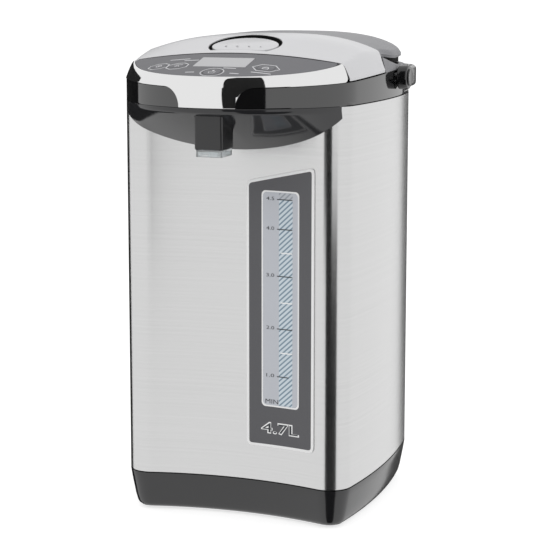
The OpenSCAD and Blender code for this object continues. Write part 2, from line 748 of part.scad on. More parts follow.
// Control panel between the fascia and the groove
panel_end = panel_r - 8.5;
panel_n = 20;
panel_m = 5;
groove_rise = 5;
groove_half = panel_r - 5.5;
groove_turn = 0.4;
function groove_at(x) =
  groove_y + groove_rise * min(1, pow(x / groove_half, 2)) - groove_turn * max(0, abs(x) - groove_half);
function panel_point(x, s) =
  [x, mix(-panel_c - sqrt(pow(panel_r - gap, 2) - x * x), groove_at(x), s)];
function panel_grid(drop) = [for (j = [0 : panel_m]) [for (i = [-panel_n / 2 : panel_n / 2])
  let (p = panel_point(panel_end * sin(180 * i / panel_n), j / panel_m)) [p.x, p.y, top_z(p) - drop]]];
panel_cut = 12;
module control_panel() {
  color("#77777a") difference() {
    slab(panel_grid(0), panel_grid(skin_t));
    on_panel([0, display_y])
      cube([display_w + gap, display_d + gap, panel_cut], center = true);
    for (k = KEYS) on_panel(k[0])
      translate([0, 0, -panel_cut / 2]) linear_extrude(panel_cut) key_shape(k, key_gap);
  }
}
module display_window() {
  t = 2;
  color("#bdbdc0") on_panel([0, display_y])
    translate([0, 0, -t / 2]) cube([display_w, display_d, t], center = true);
}

// Keys: place and number of corners
round_key_y = 14.5 - beak_reach;
side_key_y = 32.4 - beak_reach;
KEYS = [[[0, round_key_y], 0], [[40, side_key_y], 6], [[-38, side_key_y], 8], [[-56, side_key_y + 3.4], 8]];
key_t = 3;
key_proud = 0.2;
stem_r = 2;
board_drop = 10;
switch_h = 3;
module key_shape(k, grow) {
  if (k[1] == 0) circle(round_key_r + grow);
  else pad(key_w + 2 * grow, key_d + 2 * grow, k[1] == 6 ? 2.5 : 1.5);
}
module key(k) {
  color("#808084") on_panel(k[0]) {
    translate([0, 0, key_proud - key_t]) linear_extrude(key_t) key_shape(k, 0);
    translate([0, 0, key_travel + gap + switch_h - board_drop])
      cylinder(r = stem_r, h = board_drop - switch_h - key_travel - gap - key_t / 2);
  }
}
module key_round() {
  key(KEYS[0]);
}
module key_right() {
  key(KEYS[1]);
}
module key_left_inner() {
  key(KEYS[2]);
}
module key_left_outer() {
  key(KEYS[3]);
}

// The control board carries a switch under each key and stands on the deck
board_w = 122;
board_d = 24;
board_y = 39 - beak_reach;
nose_w = 20;
nose_l = 20;
board_t = 1.6;
board_sag = crown_front * pow(board_w / 2 / crown_half, 2);
switch_r = 3;
standoff_r = 3;
standoff_x = 30;
standoff_y = 8;
module control_board() {
  color("#2f6b4a") difference() {
    union() {
      translate([0, board_y, top_z([0, board_y])]) rotate([panel_slope, 0, 0])
        translate([0, 0, -board_drop - board_sag - board_t]) {
          translate([-board_w / 2, -board_d / 2, 0]) cube([board_w, board_d, board_t]);
          translate([-nose_w / 2, -board_d / 2 - nose_l, 0]) cube([nose_w, nose_l + 1, board_t]);
        }
      for (k = KEYS) on_panel(k[0])
        translate([0, 0, -board_drop - board_sag - board_t / 2])
          cylinder(r = switch_r, h = switch_h + board_sag + board_t / 2);
      for (x = [-1, 1]) for (y = [-1, 1])
        translate([x * standoff_x, board_y + y * standoff_y, deck_top])
          cylinder(r = standoff_r, h = top_z([0, board_y]) + y * standoff_y * tan(panel_slope)
            - board_drop - board_sag - deck_top);
    }
    translate([0, 0, deck_top - band_room]) translate([-band_room / 2, -band_room / 2, 0]) cube(band_room);
  }
}

// Catch for the lid's hook, on a post of its own on the deck
catch_w = 16;
catch_t = 2;
catch_y = groove_y - 4;
catch_lip = 2.6;
catch_z = 388;
module latch_catch() {
  color("silver") translate([-catch_w / 2, catch_y, 0]) {
    translate([0, 0, deck_top]) cube([catch_w, catch_t, catch_z - deck_top]);
    translate([0, 0, catch_z - catch_t]) cube([catch_w, catch_t + catch_lip, catch_t]);
  }
}

// Tank, heater and pump

port_ring = tank_r - 17.5;
port_a = 222.6;
port_x = port_ring * cos(port_a);
port_y = tank_y + port_ring * sin(port_a);
port_r = 5;
module inner_tank() {
  flange = 5;
  color("#cfd0d2") difference() {
    union() {
      ring(tank_r, tank_r + tank_wall, tank_floor, tank_top);
      translate([0, tank_y, tank_floor]) cylinder(r = tank_r + tank_wall, h = tank_wall);
      ring(tank_r, tank_r + flange, tank_top - tank_wall, tank_top);
    }
    translate([port_x, port_y, tank_floor - 1]) cylinder(r = port_r, h = tank_wall + 2);
  }
}
module tank_seal() {
  color("#d8d4cc") ring(tank_r - 2, tank_r + 4, tank_top, collar_foot);
}
post_ring = tank_r - 11.5;
tank_post_r = 4;
module tank_posts() {
  color("#b9babc")
    for (a = [90, 210, 330])
      translate([post_ring * cos(a), tank_y + post_ring * sin(a), floor_z])
        cylinder(r = tank_post_r, h = tank_floor - floor_z);
}
wrap_z0 = 106;
wrap_z1 = 306;
module insulation_wrap() {
  color("#e6e2d6") ring(tank_r + tank_wall + gap, tank_r + tank_wall + gap + wrap_t, wrap_z0, wrap_z1);
}
heater_r = tank_r - 29.5;
heater_t = 8;
heater_z = tank_floor - heater_t;
terminal_r = 2.5;
terminal_l = 6;
terminal_x = 12;
module heater_plate() {
  color("#9c9da0") translate([0, tank_y, heater_z]) {
    cylinder(r = heater_r, h = heater_t);
    for (x = [-1, 1]) translate([x * terminal_x, 40, -terminal_l]) cylinder(r = terminal_r, h = terminal_l + 1);
  }
}
module thermal_cutout() {
  h = 6;
  color("#e3dccb") translate([28, 4, heater_z - h]) cylinder(r = 8, h = h);
}
module temperature_sensor() {
  h = 8;
  color("#8a8b8e") translate([8, -28, heater_z - h]) cylinder(r = 3, h = h);
}

pump_x = -40;
pump_y = 12;
motor_r = 17;
motor_h = 20;
volute_r = 21;
volute_h = 12;
volute_wall = 3;
rotor_r = 15;
shaft_r = 2;
pump_port_r = 4;
pump_port_l = 10;
motor_z = floor_z;
volute_z = motor_z + motor_h;
pump_lid_t = 3;
rotor_gap = 0.6;
module at_pump(z) {
  translate([pump_x, pump_y, z]) children();
}
module pump_motor() {
  color("#8d8e91") at_pump(motor_z) difference() {
    cylinder(r = motor_r, h = motor_h);
    translate([0, 0, motor_h / 2]) cylinder(r = shaft_r + run_gap, h = motor_h);
  }
}
module pump_housing() {
  color("#d9d6cd") at_pump(volute_z) difference() {
    union() {
      cylinder(r = volute_r, h = volute_h);
      translate([0, 0, volute_h / 2]) rotate([90, 0, 0]) cylinder(r = pump_port_r, h = volute_r + pump_port_l);
      translate([0, 0, volute_h / 2]) rotate([0, -90, 0]) cylinder(r = pump_port_r, h = volute_r + pump_port_l);
    }
    translate([0, 0, volute_wall]) cylinder(r = volute_r - volute_wall, h = volute_h);
    translate([0, 0, -1]) cylinder(r = shaft_r + run_gap, h = volute_h);
  }
}
module pump_cover() {
  color("#cfccc2") at_pump(volute_z + volute_h) cylinder(r = volute_r, h = pump_lid_t);
}
module pump_rotor() {
  blades = 6;
  color("#3b4a63") at_pump(0) {
    translate([0, 0, motor_z + motor_h / 2 + gap])
      cylinder(r = shaft_r, h = volute_z + volute_wall + rotor_gap - motor_z - motor_h / 2);
    translate([0, 0, volute_z + volute_wall + rotor_gap]) {
      cylinder(r = rotor_r, h = 2);
      cylinder(r = 2 * shaft_r, h = volute_h - volute_wall - 2 * rotor_gap);
      for (i = [1 : blades]) rotate([0, 0, 360 * i / blades])
        translate([0, -0.75, 0]) cube([rotor_r - 1, 1.5, volute_h - volute_wall - 2 * rotor_gap]);
    }
  }
}

// The hoses run from the tank's port to the pump, and from the pump up to the spout
hose_r = 4;
hose_steps = 4;
pump_port_z = volute_z + volute_h / 2;
side_in = casing_w / 2 - 19.5;
socket_l = 10;
module suction_hose() {
  end_y = pump_y - volute_r - pump_port_l - gap;
  route = [[port_x, port_y, tank_floor - gap], [port_x, port_y, tank_floor - 4], [port_x, port_y, tank_floor - 8],
    [(port_x + pump_x) / 2, (port_y + end_y) / 2, pump_port_z + 2], [pump_x, end_y - 7, pump_port_z],
    [pump_x, end_y - 3, pump_port_z], [pump_x, end_y, pump_port_z]];
  color("#d7dadb") hose(spline(route, hose_steps), hose_r);
}
module delivery_hose() {
  out_x = pump_x - volute_r - pump_port_l - gap;
  up = band_z;
  route = [[out_x, pump_y, pump_port_z], [out_x - 3, pump_y, pump_port_z], [out_x - 7, pump_y - 1, pump_port_z],
    [-side_in, pump_y - 22, pump_port_z + 3], [3 - side_in, -cy / 2, pump_port_z + 17],
    [(riser_x - side_in) / 2, riser_y + 12, pump_port_z + 50], [riser_x, riser_y, pump_port_z + 90],
    [riser_x, riser_y, 230], [riser_x, riser_y, up - 50], [riser_x, riser_y - 1, up - 26],
    [riser_x + 4, riser_y - 12, up - 12], [0.7 * riser_x, spout_y + 27, up - 9],
    [0.4 * riser_x, spout_y + 11, up - 3], [-12, spout_y + 4, up + 1], [-5, spout_y + 1.5, up],
    [-1, spout_y, up - 4], [0, spout_y, up - 8.5], [0, spout_y, up - 12.5],
    [0, spout_y, spout_z1 - socket_l + gap]];
  color("#d7dadb") hose(spline(route, hose_steps), hose_r);
}

// Power board on the chassis, and the mains inlet low on the rear
module power_board() {
  w = 74;
  d = 52;
  lift = 4;
  color("#2f6b4a") translate([0.214 * casing_w, 0.13 * casing_d, floor_z]) {
    translate([-w / 2, -d / 2, lift]) cube([w, d, 1.6]);
    for (x = [-1, 1]) for (y = [-1, 1])
      translate([x * (w / 2 - 4), y * (d / 2 - 4), 0]) cylinder(r = 2.5, h = lift + 1);
    translate([-20, -14, lift + 1]) cube([24, 20, 18]);
    translate([12, -10, lift + 1]) cube([16, 12, 15]);
    translate([10, 14, lift + 1]) cylinder(r = 6, h = 16);
  }
}
inlet_depth = 22;
inlet_wall = 3;
inlet_proud = 4;
module inlet_socket() {
  color("#232324") translate([0, casing_rear + inlet_proud - inlet_depth / 2, inlet_z]) difference() {
    union() {
      cube([inlet_w, inlet_depth, inlet_h], center = true);
      translate([0, (inlet_depth - inlet_proud) / 2 + gap / 2, 0])
        cube([inlet_w + 10, inlet_proud - gap, inlet_h + 8], center = true);
    }
    translate([0, inlet_wall, 0])
      cube([inlet_w - 2 * inlet_wall, inlet_depth, inlet_h - 2 * inlet_wall], center = true);
  }
}
module inlet_pins() {
  pin_r = 2;
  pin_l = 14;
  floor_y = casing_rear + inlet_proud - inlet_depth + inlet_wall;
  color("silver")
    for (x = [-1, 0, 1])
      translate([13 * x, floor_y, inlet_z]) rotate([-90, 0, 0]) cylinder(r = pin_r, h = pin_l);
}

// Hinge pin of the lid and pivot pins of the handle
module hinge_pin() {
  color("silver") translate([0, hinge_y, hinge_z]) rotate([0, 90, 0])
    cylinder(r = hinge_pin_r, h = 2 * ear_x1 - 1, center = true);
}
pivot_head_r = 7;
pivot_head_t = 2;
pivot_in = 4;
boss_x0 = casing_w / 2 + gap * 2;
boss_x1 = boss_x0 + 9;
module handle_pins() {
  inside = head_half(pivot_y) - head_wall - pivot_in;
  color("silver") for (s = [0, 1]) mirror([s, 0, 0]) translate([inside, pivot_y, pivot_z]) rotate([0, 90, 0]) {
    cylinder(r = pivot_head_r, h = pivot_head_t);
    cylinder(r = pivot_pin_r, h = boss_x1 - inside - 1);
  }
}

// Handle

boss_r = 10.5;
module bail_handle() {
  color("#141415") difference() {
    union() {
      translate([0, 0, pivot_z - handle_h / 2]) linear_extrude(handle_h) intersection() {
        difference() {
          polygon(head_outline(-handle_gap - handle_t));
          polygon(head_outline(-handle_gap));
        }
        translate([-casing_w, pivot_y]) square([2 * casing_w, casing_d]);
      }
      for (s = [0, 1]) mirror([s, 0, 0]) translate([boss_x0, pivot_y, pivot_z]) rotate([0, 90, 0])
        cylinder(r = boss_r, h = boss_x1 - boss_x0);
    }
    translate([0, pivot_y, pivot_z]) rotate([0, 90, 0])
      cylinder(r = pivot_pin_r + run_gap, h = 2 * casing_w, center = true);
  }
}
cap_t = 1.5;
module handle_caps() {
  color("#232324") for (s = [0, 1]) mirror([s, 0, 0]) translate([boss_x1, pivot_y, pivot_z]) rotate([0, 90, 0])
    cylinder(r = boss_r - 3, h = cap_t);
}

// Lid

lid_m = 10;
seam_slant = 9;
// Shares of the half width at the grid's columns, closer together on the bevelled rim
lid_cols = [0, 0.25, 0.5, 0.7, 0.82, 0.89, 0.93, 0.965, 0.985, 1];
lid_across = concat([for (i = [len(lid_cols) - 1 : -1 : 1]) -lid_cols[i]], lid_cols);
function lid_point(t, s) =
  let (x0 = t * head_half(groove_y), front = groove_at(x0) + groove_w)
  let (rear = seam_at(t * head_half(lid_seam_y)) - seam_slant * smooth((abs(t) - 0.88) / 0.12))
  let (y = mix(front, rear, s)) [t * (head_half(y) - gap), y];
function lid_grid(drop) = [for (j = [0 : lid_m]) [for (t = lid_across)
  let (p = lid_point(t, j / lid_m)) [p.x, p.y, cover_z(p, split_z(p.y) + gap + skin_t) - drop]]];
lever_mid = -65;
lever_front = -81;
module ellipse(a, b) {
  polygon([for (i = [0 : 47]) [a * cos(7.5 * i), b * sin(7.5 * i)]]);
}
// A D-shaped area about the lever's middle, straight in front
module lever_area(a, b, front) {
  intersection() {
    ellipse(a, b);
    translate([-a, front - lever_mid]) square([2 * a, 4 * b]);
  }
}
lever_room = 1.4;
module on_lever() {
  translate([0, lever_mid, slope_z(lever_mid)]) rotate([panel_slope, 0, 0]) children();
}
module lid_cover() {
  color("#cfcfd0") difference() {
    slab(lid_grid(0), lid_grid(skin_t));
    on_lever() translate([0, 0, -panel_cut]) linear_extrude(2 * panel_cut)
      lever_area(hole_a, hole_b, lever_front - lever_room);
  }
}

// The grey rear cover of the lid reaches over the hinge, with a dark skirt below its edge
rear_lost = 9.2;
rear_over = 5.7;
rear_round = 4;
rear_edge = 3;
rear_rows = [0, 0.3, 0.55, 0.75, 0.87, 0.94, 0.97, 0.985, 1];
rear_first = 3;
skirt_in = 0.6;
skirt_t = 1.8;
skirt_z = 388.6;
hinge_half = ear_x1 + 3;
hinge_front = 12;
function rear_rim(inset) = rear_line(inset, seam_at(seam_half) + rear_first);
// At its sides the cover reaches out over the low ledge
function rear_reach(y) = smooth((y - 8) / 24) * (1 - smooth((y - 62) / 22));
function rear_z(p) =
  let (d = rim_dist(p) - rear_lost + rear_over * rear_reach(p.y))
  top_z(p) - rear_edge * (1 - sin(90 * clamp01(d / rear_round)));
rear_in = rear_rim(rear_lost);
rear_out = rear_rim(rear_lost - rear_over);
rear_edge_line = [for (i = [0 : len(rear_in) - 1]) mix(rear_in[i], rear_out[i], rear_reach(rear_in[i].y))];
function rear_grid(drop) =
  let (n = len(rear_edge_line) - 1, half = rear_edge_line[0].x)
  [for (s = rear_rows) [for (i = [n : -1 : 0])
    let (x = half * cos(180 * i / n), f = [x, seam_at(x) + gap])
    let (p = mix(f, rear_edge_line[i], s)) [p.x, p.y, rear_z(p) - drop]]];
module lid_rear_cover() {
  color("#4a4a4c") slab(rear_grid(0), rear_grid(skin_t));
}
skirt_out = rear_rim(rear_lost + skirt_in);
skirt_back = rear_rim(rear_lost + skirt_in + skirt_t);
function skirt_section(i) =
  let (p = skirt_out[i], q = skirt_back[i], top = min(rear_z(p), rear_z(q)) - skin_t - 2 * gap)
  [[p.x, p.y, skirt_z], [p.x, p.y, top], [q.x, q.y, top], [q.x, q.y, skirt_z]];
module lid_rear_skirt() {
  color("#1d1d1e") difference() {
    sweep([for (i = [0 : len(skirt_out) - 1]) skirt_section(i)]);
    translate([-hinge_half, hinge_y - hinge_front, skirt_z - 1])
      cube([2 * hinge_half, casing_d, hinge_z + ear_r + gap * 2 - skirt_z + 1]);
  }
}

// The liner closes the lid from below, plugs the mouth and carries the hinge knuckle
liner_z = 379.6;
liner_t = 2;
liner_top = liner_z + liner_t;
liner_inset = 9;
liner_rear = 77;
plug_room = 6;
plug_r = mouth_r - plug_room;
plug_wall = 4;
plug_z = 356;
knuckle_r = 6;
knuckle_half = ear_x0 - 0.5;
lid_post_r = 4;
lid_posts = [[-64, -62], [64, -62], [-60, 46], [60, 46]];
function under_cover(p) =
  min([for (a = [0 : 45 : 315]) top_z(p + lid_post_r * [cos(a), sin(a)])]) - skin_t - gap;
module lid_liner() {
  color("#3f3f41") difference() {
    union() {
      translate([0, 0, liner_z]) linear_extrude(liner_t) intersection() {
        polygon(head_outline(liner_inset));
        translate([-casing_w, groove_y + 12]) square([2 * casing_w, liner_rear - groove_y - 12]);
      }
      ring(plug_r - plug_wall, plug_r, plug_z, liner_z + 1);
      translate([0, hinge_y, hinge_z]) rotate([0, 90, 0])
        cylinder(r = knuckle_r, h = 2 * knuckle_half, center = true);
      translate([-knuckle_half, liner_rear - 8, liner_z])
        cube([2 * knuckle_half, 8, hinge_z + knuckle_r - 1 - liner_z]);
      translate([-knuckle_half, liner_rear - 1, hinge_z])
        cube([2 * knuckle_half, hinge_y - liner_rear + 1, knuckle_r - 1]);
      for (p = lid_posts) translate([p.x, p.y, liner_z])
        cylinder(r = lid_post_r, h = under_cover(p) - liner_z);
    }
    translate([0, hinge_y, hinge_z]) rotate([0, 90, 0])
      cylinder(r = hinge_pin_r + run_gap, h = 4 * ear_x1, center = true);
  }
}
inner_plate_t = 2.5;
module lid_inner_plate() {
  color("#cfd0d2") ring(0, plug_r - 0.5, plug_z - inner_plate_t, plug_z);
}
gasket_z = 364;
gasket_h = 4;
gasket_out = 4.5;
module lid_gasket() {
  color("#e4e0d8") ring(plug_r, plug_r + gasket_out, gasket_z, gasket_z + gasket_h);
}
module steam_valve() {
  h = 7;
  color("#d9d6cd") translate([0, tank_y + 20, plug_z - inner_plate_t - h]) cylinder(r = 9, h = h);
}

// Lever, its tray under the finger hole, its pin, spring and hook, in the slope's own frame
axis_y = lever_front - lever_mid + 2.6;
axis_z = -3.6;
barrel_r = 2.9;
barrel_half = 19;
lug_half = 26;
lug_t = 3;
tray_z = -13;
tray_t = 1.5;
tray_top = -skin_t - 2.6;
hook_half = 6;
module lever_tray() {
  wall = 1.4;
  color("#2c2c2e") difference() {
    union() {
      on_lever() difference() {
        translate([0, 0, tray_z]) linear_extrude(tray_top - tray_z)
          lever_area(hole_a + wall, hole_b + wall, lever_front - lever_room - wall);
        translate([0, 0, tray_z + tray_t]) linear_extrude(-tray_z)
          lever_area(hole_a, hole_b, lever_front - lever_room);
        translate([-hook_half - 2, axis_y - 8, tray_z - 1])
          cube([2 * hook_half + 4, 19, tray_t + 2]);
      }
      on_lever() for (s = [-1, 1]) translate([s * (barrel_half + 0.4 + lug_t / 2), axis_y, 0])
        translate([-lug_t / 2, -1.8, tray_z]) cube([lug_t, 4.8, axis_z - tray_z]);
      for (s = [-1, 1]) translate([s * 24, lever_mid, liner_top])
        cylinder(r = 3, h = slope_z(lever_mid) + tray_z - liner_top + tray_t / 2);
    }
    on_lever() translate([0, axis_y, axis_z]) rotate([0, 90, 0])
      cylinder(r = lever_pin_r + run_gap / 2, h = 4 * lug_half, center = true);
  }
}
pin_half = barrel_half + 0.4 + lug_t;
module lever_pin() {
  color("silver") on_lever() translate([0, axis_y, axis_z]) rotate([0, 90, 0])
    cylinder(r = lever_pin_r, h = 2 * pin_half, center = true);
}
module lid_lever() {
  color("#d6d6d7") on_lever() difference() {
    union() {
      translate([0, 0, -lever_t]) linear_extrude(lever_t) lever_area(lever_a, lever_b, lever_front);
      for (s = [-1, 1]) translate([s * (barrel_half + spring_half) / 2, axis_y, axis_z]) rotate([0, 90, 0])
        cylinder(r = barrel_r, h = barrel_half - spring_half, center = true);
    }
    translate([0, axis_y, axis_z]) rotate([0, 90, 0])
      cylinder(r = lever_pin_r + run_gap, h = 4 * lug_half, center = true);
    translate([0, axis_y, axis_z]) rotate([0, 90, 0])
      cylinder(r = spring_coil_r + spring_wire + gap, h = 2 * spring_half, center = true);
  }
}

// A torsion spring round the pin, between the two halves of the lever's barrel
spring_half = 10;
spring_wire = 0.4;
spring_turns = 2;
spring_coil_r = 2.3;
spring_rings = 8;
function coil_point(i) =
  let (u = i / (spring_turns * spring_rings), a = 360 * i / spring_rings)
  [mix(hook_half + 0.8, spring_half - 0.8, u), spring_coil_r * cos(a), spring_coil_r * sin(a)];
module lever_spring() {
  curve = [for (i = [0 : spring_turns * spring_rings]) coil_point(i)];
  n = len(curve);
  loops = [for (i = [0 : n - 1])
    let (out = unit([0, curve[i].y, curve[i].z]))
    [for (k = [0 : 5]) let (a = 60 * k) curve[i] + spring_wire * (cos(a) * out + sin(a) * [1, 0, 0])]];
  color("silver") on_lever() translate([0, axis_y, axis_z]) sweep(loops);
}

// The hook hangs from the lever's axis and reaches forward to the catch
hook_drop = 13;
hook_t = 3;
hook_toe = 3.2;
module latch_hook() {
  color("#2c2c2e") on_lever() difference() {
    union() {
      translate([0, axis_y, axis_z]) rotate([0, 90, 0]) cylinder(r = barrel_r, h = 2 * hook_half, center = true);
      translate([-hook_half, axis_y - hook_t / 2, axis_z - hook_drop]) cube([2 * hook_half, hook_t, hook_drop]);
      translate([-hook_half, axis_y - hook_t / 2 - hook_toe, axis_z - hook_drop])
        cube([2 * hook_half, hook_toe + 1, 2.4]);
    }
    translate([0, axis_y, axis_z]) rotate([0, 90, 0])
      cylinder(r = lever_pin_r + run_gap, h = 4 * lug_half, center = true);
    translate([-hook_half - 1, axis_y - hook_drop, -lever_t]) cube([2 * hook_half + 2, 2 * hook_drop, hook_drop]);
  }
}

place() base_housing();
place() bottom_cover();
place() bottom_screws();
place() rubber_feet();
place() chassis_plate();
place() outer_casing();
place() gauge_panel();
place() gauge_window();
place() sight_tube();
place() gauge_fitting_lower();
place() gauge_fitting_upper();
place() head_ring();
place() rear_shoulders();
place() chin_cover();
place() spout_housing();
place() outlet_nozzle();
place() fascia();
place() control_panel();
place() display_window();
place() control_board();
place() latch_catch();
place() inner_tank();
place() tank_seal();
place() tank_posts();
place() insulation_wrap();
place() heater_plate();
place() thermal_cutout();
place() temperature_sensor();
place() pump_housing();
place() pump_cover();
place() pump_motor();
place() suction_hose();
place() delivery_hose();
place() power_board();
place() inlet_socket();
place() inlet_pins();
place() hinge_pin();
place() handle_pins();
place() pump_rotor();
place() lid_cover();
place() lid_rear_cover();
place() lid_rear_skirt();
place() lid_liner();
place() lid_inner_plate();
place() lid_gasket();
place() steam_valve();
place() lever_tray();
place() lever_pin();
place() lever_spring();
place() lid_lever();
place() latch_hook();
place() bail_handle();
place() handle_caps();
place() key_round();
place() key_right();
place() key_left_inner();
place() key_left_outer();
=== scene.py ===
"""Looks of an electric airpot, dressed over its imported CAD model.

Every piece is formed in millimetres about the pot's own axis, which stands 22.4 mm behind the
middle of the part, and is put in its place in metres when its mesh is finished. A field with
several sizes lists them in the order in which the methods take them apart.
"""

import logging
import math
from collections.abc import Callable, Sequence
from dataclasses import dataclass, field
from enum import Enum

import bmesh
import bpy
from mathutils import Matrix, Vector


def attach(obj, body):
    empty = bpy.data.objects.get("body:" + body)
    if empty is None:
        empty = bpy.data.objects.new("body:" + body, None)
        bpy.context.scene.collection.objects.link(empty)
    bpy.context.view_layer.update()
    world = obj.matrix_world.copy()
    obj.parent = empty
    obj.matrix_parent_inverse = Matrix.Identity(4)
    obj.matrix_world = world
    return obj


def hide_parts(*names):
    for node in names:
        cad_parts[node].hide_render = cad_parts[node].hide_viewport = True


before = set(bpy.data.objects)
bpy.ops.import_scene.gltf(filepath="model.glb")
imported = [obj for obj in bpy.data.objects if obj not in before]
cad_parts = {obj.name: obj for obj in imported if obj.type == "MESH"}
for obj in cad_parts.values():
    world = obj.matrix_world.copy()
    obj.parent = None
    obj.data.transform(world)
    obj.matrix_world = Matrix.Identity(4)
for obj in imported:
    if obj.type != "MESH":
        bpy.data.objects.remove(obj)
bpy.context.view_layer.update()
LOG = logging.getLogger("airpot")

Flat = tuple[float, float]
Point = tuple[float, float, float]
Sizes = tuple[float, ...]
Outline = Sequence[Flat]
Stroke = tuple[list[Flat], list[Flat]]
Row = list[bmesh.types.BMVert]
Piece = bpy.types.Object
Tree = bpy.types.NodeTree
Node = bpy.types.Node
Socket = bpy.types.NodeSocket

AXIS_BACK = 22.4
PLACE = Matrix.Diagonal((0.001, 0.001, 0.001, 1.0)) @ Matrix.Translation((0.0, AXIS_BACK, 0.0))
QUARTER = math.pi / 2
SIDES = (-1, 1)


def mix(a: float, b: float, t: float) -> float:
    """The value a share t of the way from a to b."""
    return a + (b - a) * t


def clamp(t: float) -> float:
    """A share held between 0 and 1."""
    return min(1.0, max(0.0, t))


def smooth(t: float) -> float:
    """A share that starts and ends gently."""
    u = clamp(t)
    return u * u * (3.0 - 2.0 * u)


def swell(t: float) -> float:
    """A share that starts fast and ends gently, like a quarter of a sine."""
    return math.sin(QUARTER * t)


def tint(code: str) -> Sizes:
    """A screen colour, written as six digits such as 3c3c3d, as linear red, green and blue."""
    shares = [int(code[i:i + 2], 16) / 255.0 for i in (0, 2, 4)]
    return tuple(s / 12.92 if s <= 0.04045 else ((s + 0.055) / 1.055) ** 2.4 for s in shares)


def shift(x: float, y: float, z: float = 0.0) -> Matrix:
    """A place moved from the pot's axis on the table."""
    return Matrix.Translation((x, y, z))


def level(line: Outline, z: float) -> list[Point]:
    """An outline at one height."""
    return [(x, y, z) for x, y in line]


class Body(Enum):
    """The bodies of the model that pieces ride on."""

    POT = "pot"
    LID = "lid"
    LEVER = "lever"
    HANDLE = "handle"
    ROUND_KEY = "round_key"
    RIGHT_KEY = "right_key"
    LEFT_INNER_KEY = "left_inner_key"
    LEFT_OUTER_KEY = "left_outer_key"


@dataclass(frozen=True)
class Arc:
    """One arc of an outline: its middle, radius, first and last angle, and its number of steps."""

    x: float
    y: float
    r: float
    start: float
    end: float
    steps: int
    hollow: bool = False

    def points(self, inset: float) -> list[Flat]:
        """Points along the arc, without the last one.

        Args:
            inset: How far the outline is drawn in.

        Returns:
            The points in order.
        """
        r = self.r + inset if self.hollow else self.r - inset
        turns = [mix(self.start, self.end, i / self.steps) for i in range(self.steps)]
        return [(self.x + r * math.cos(a), self.y + r * math.sin(a)) for a in turns]


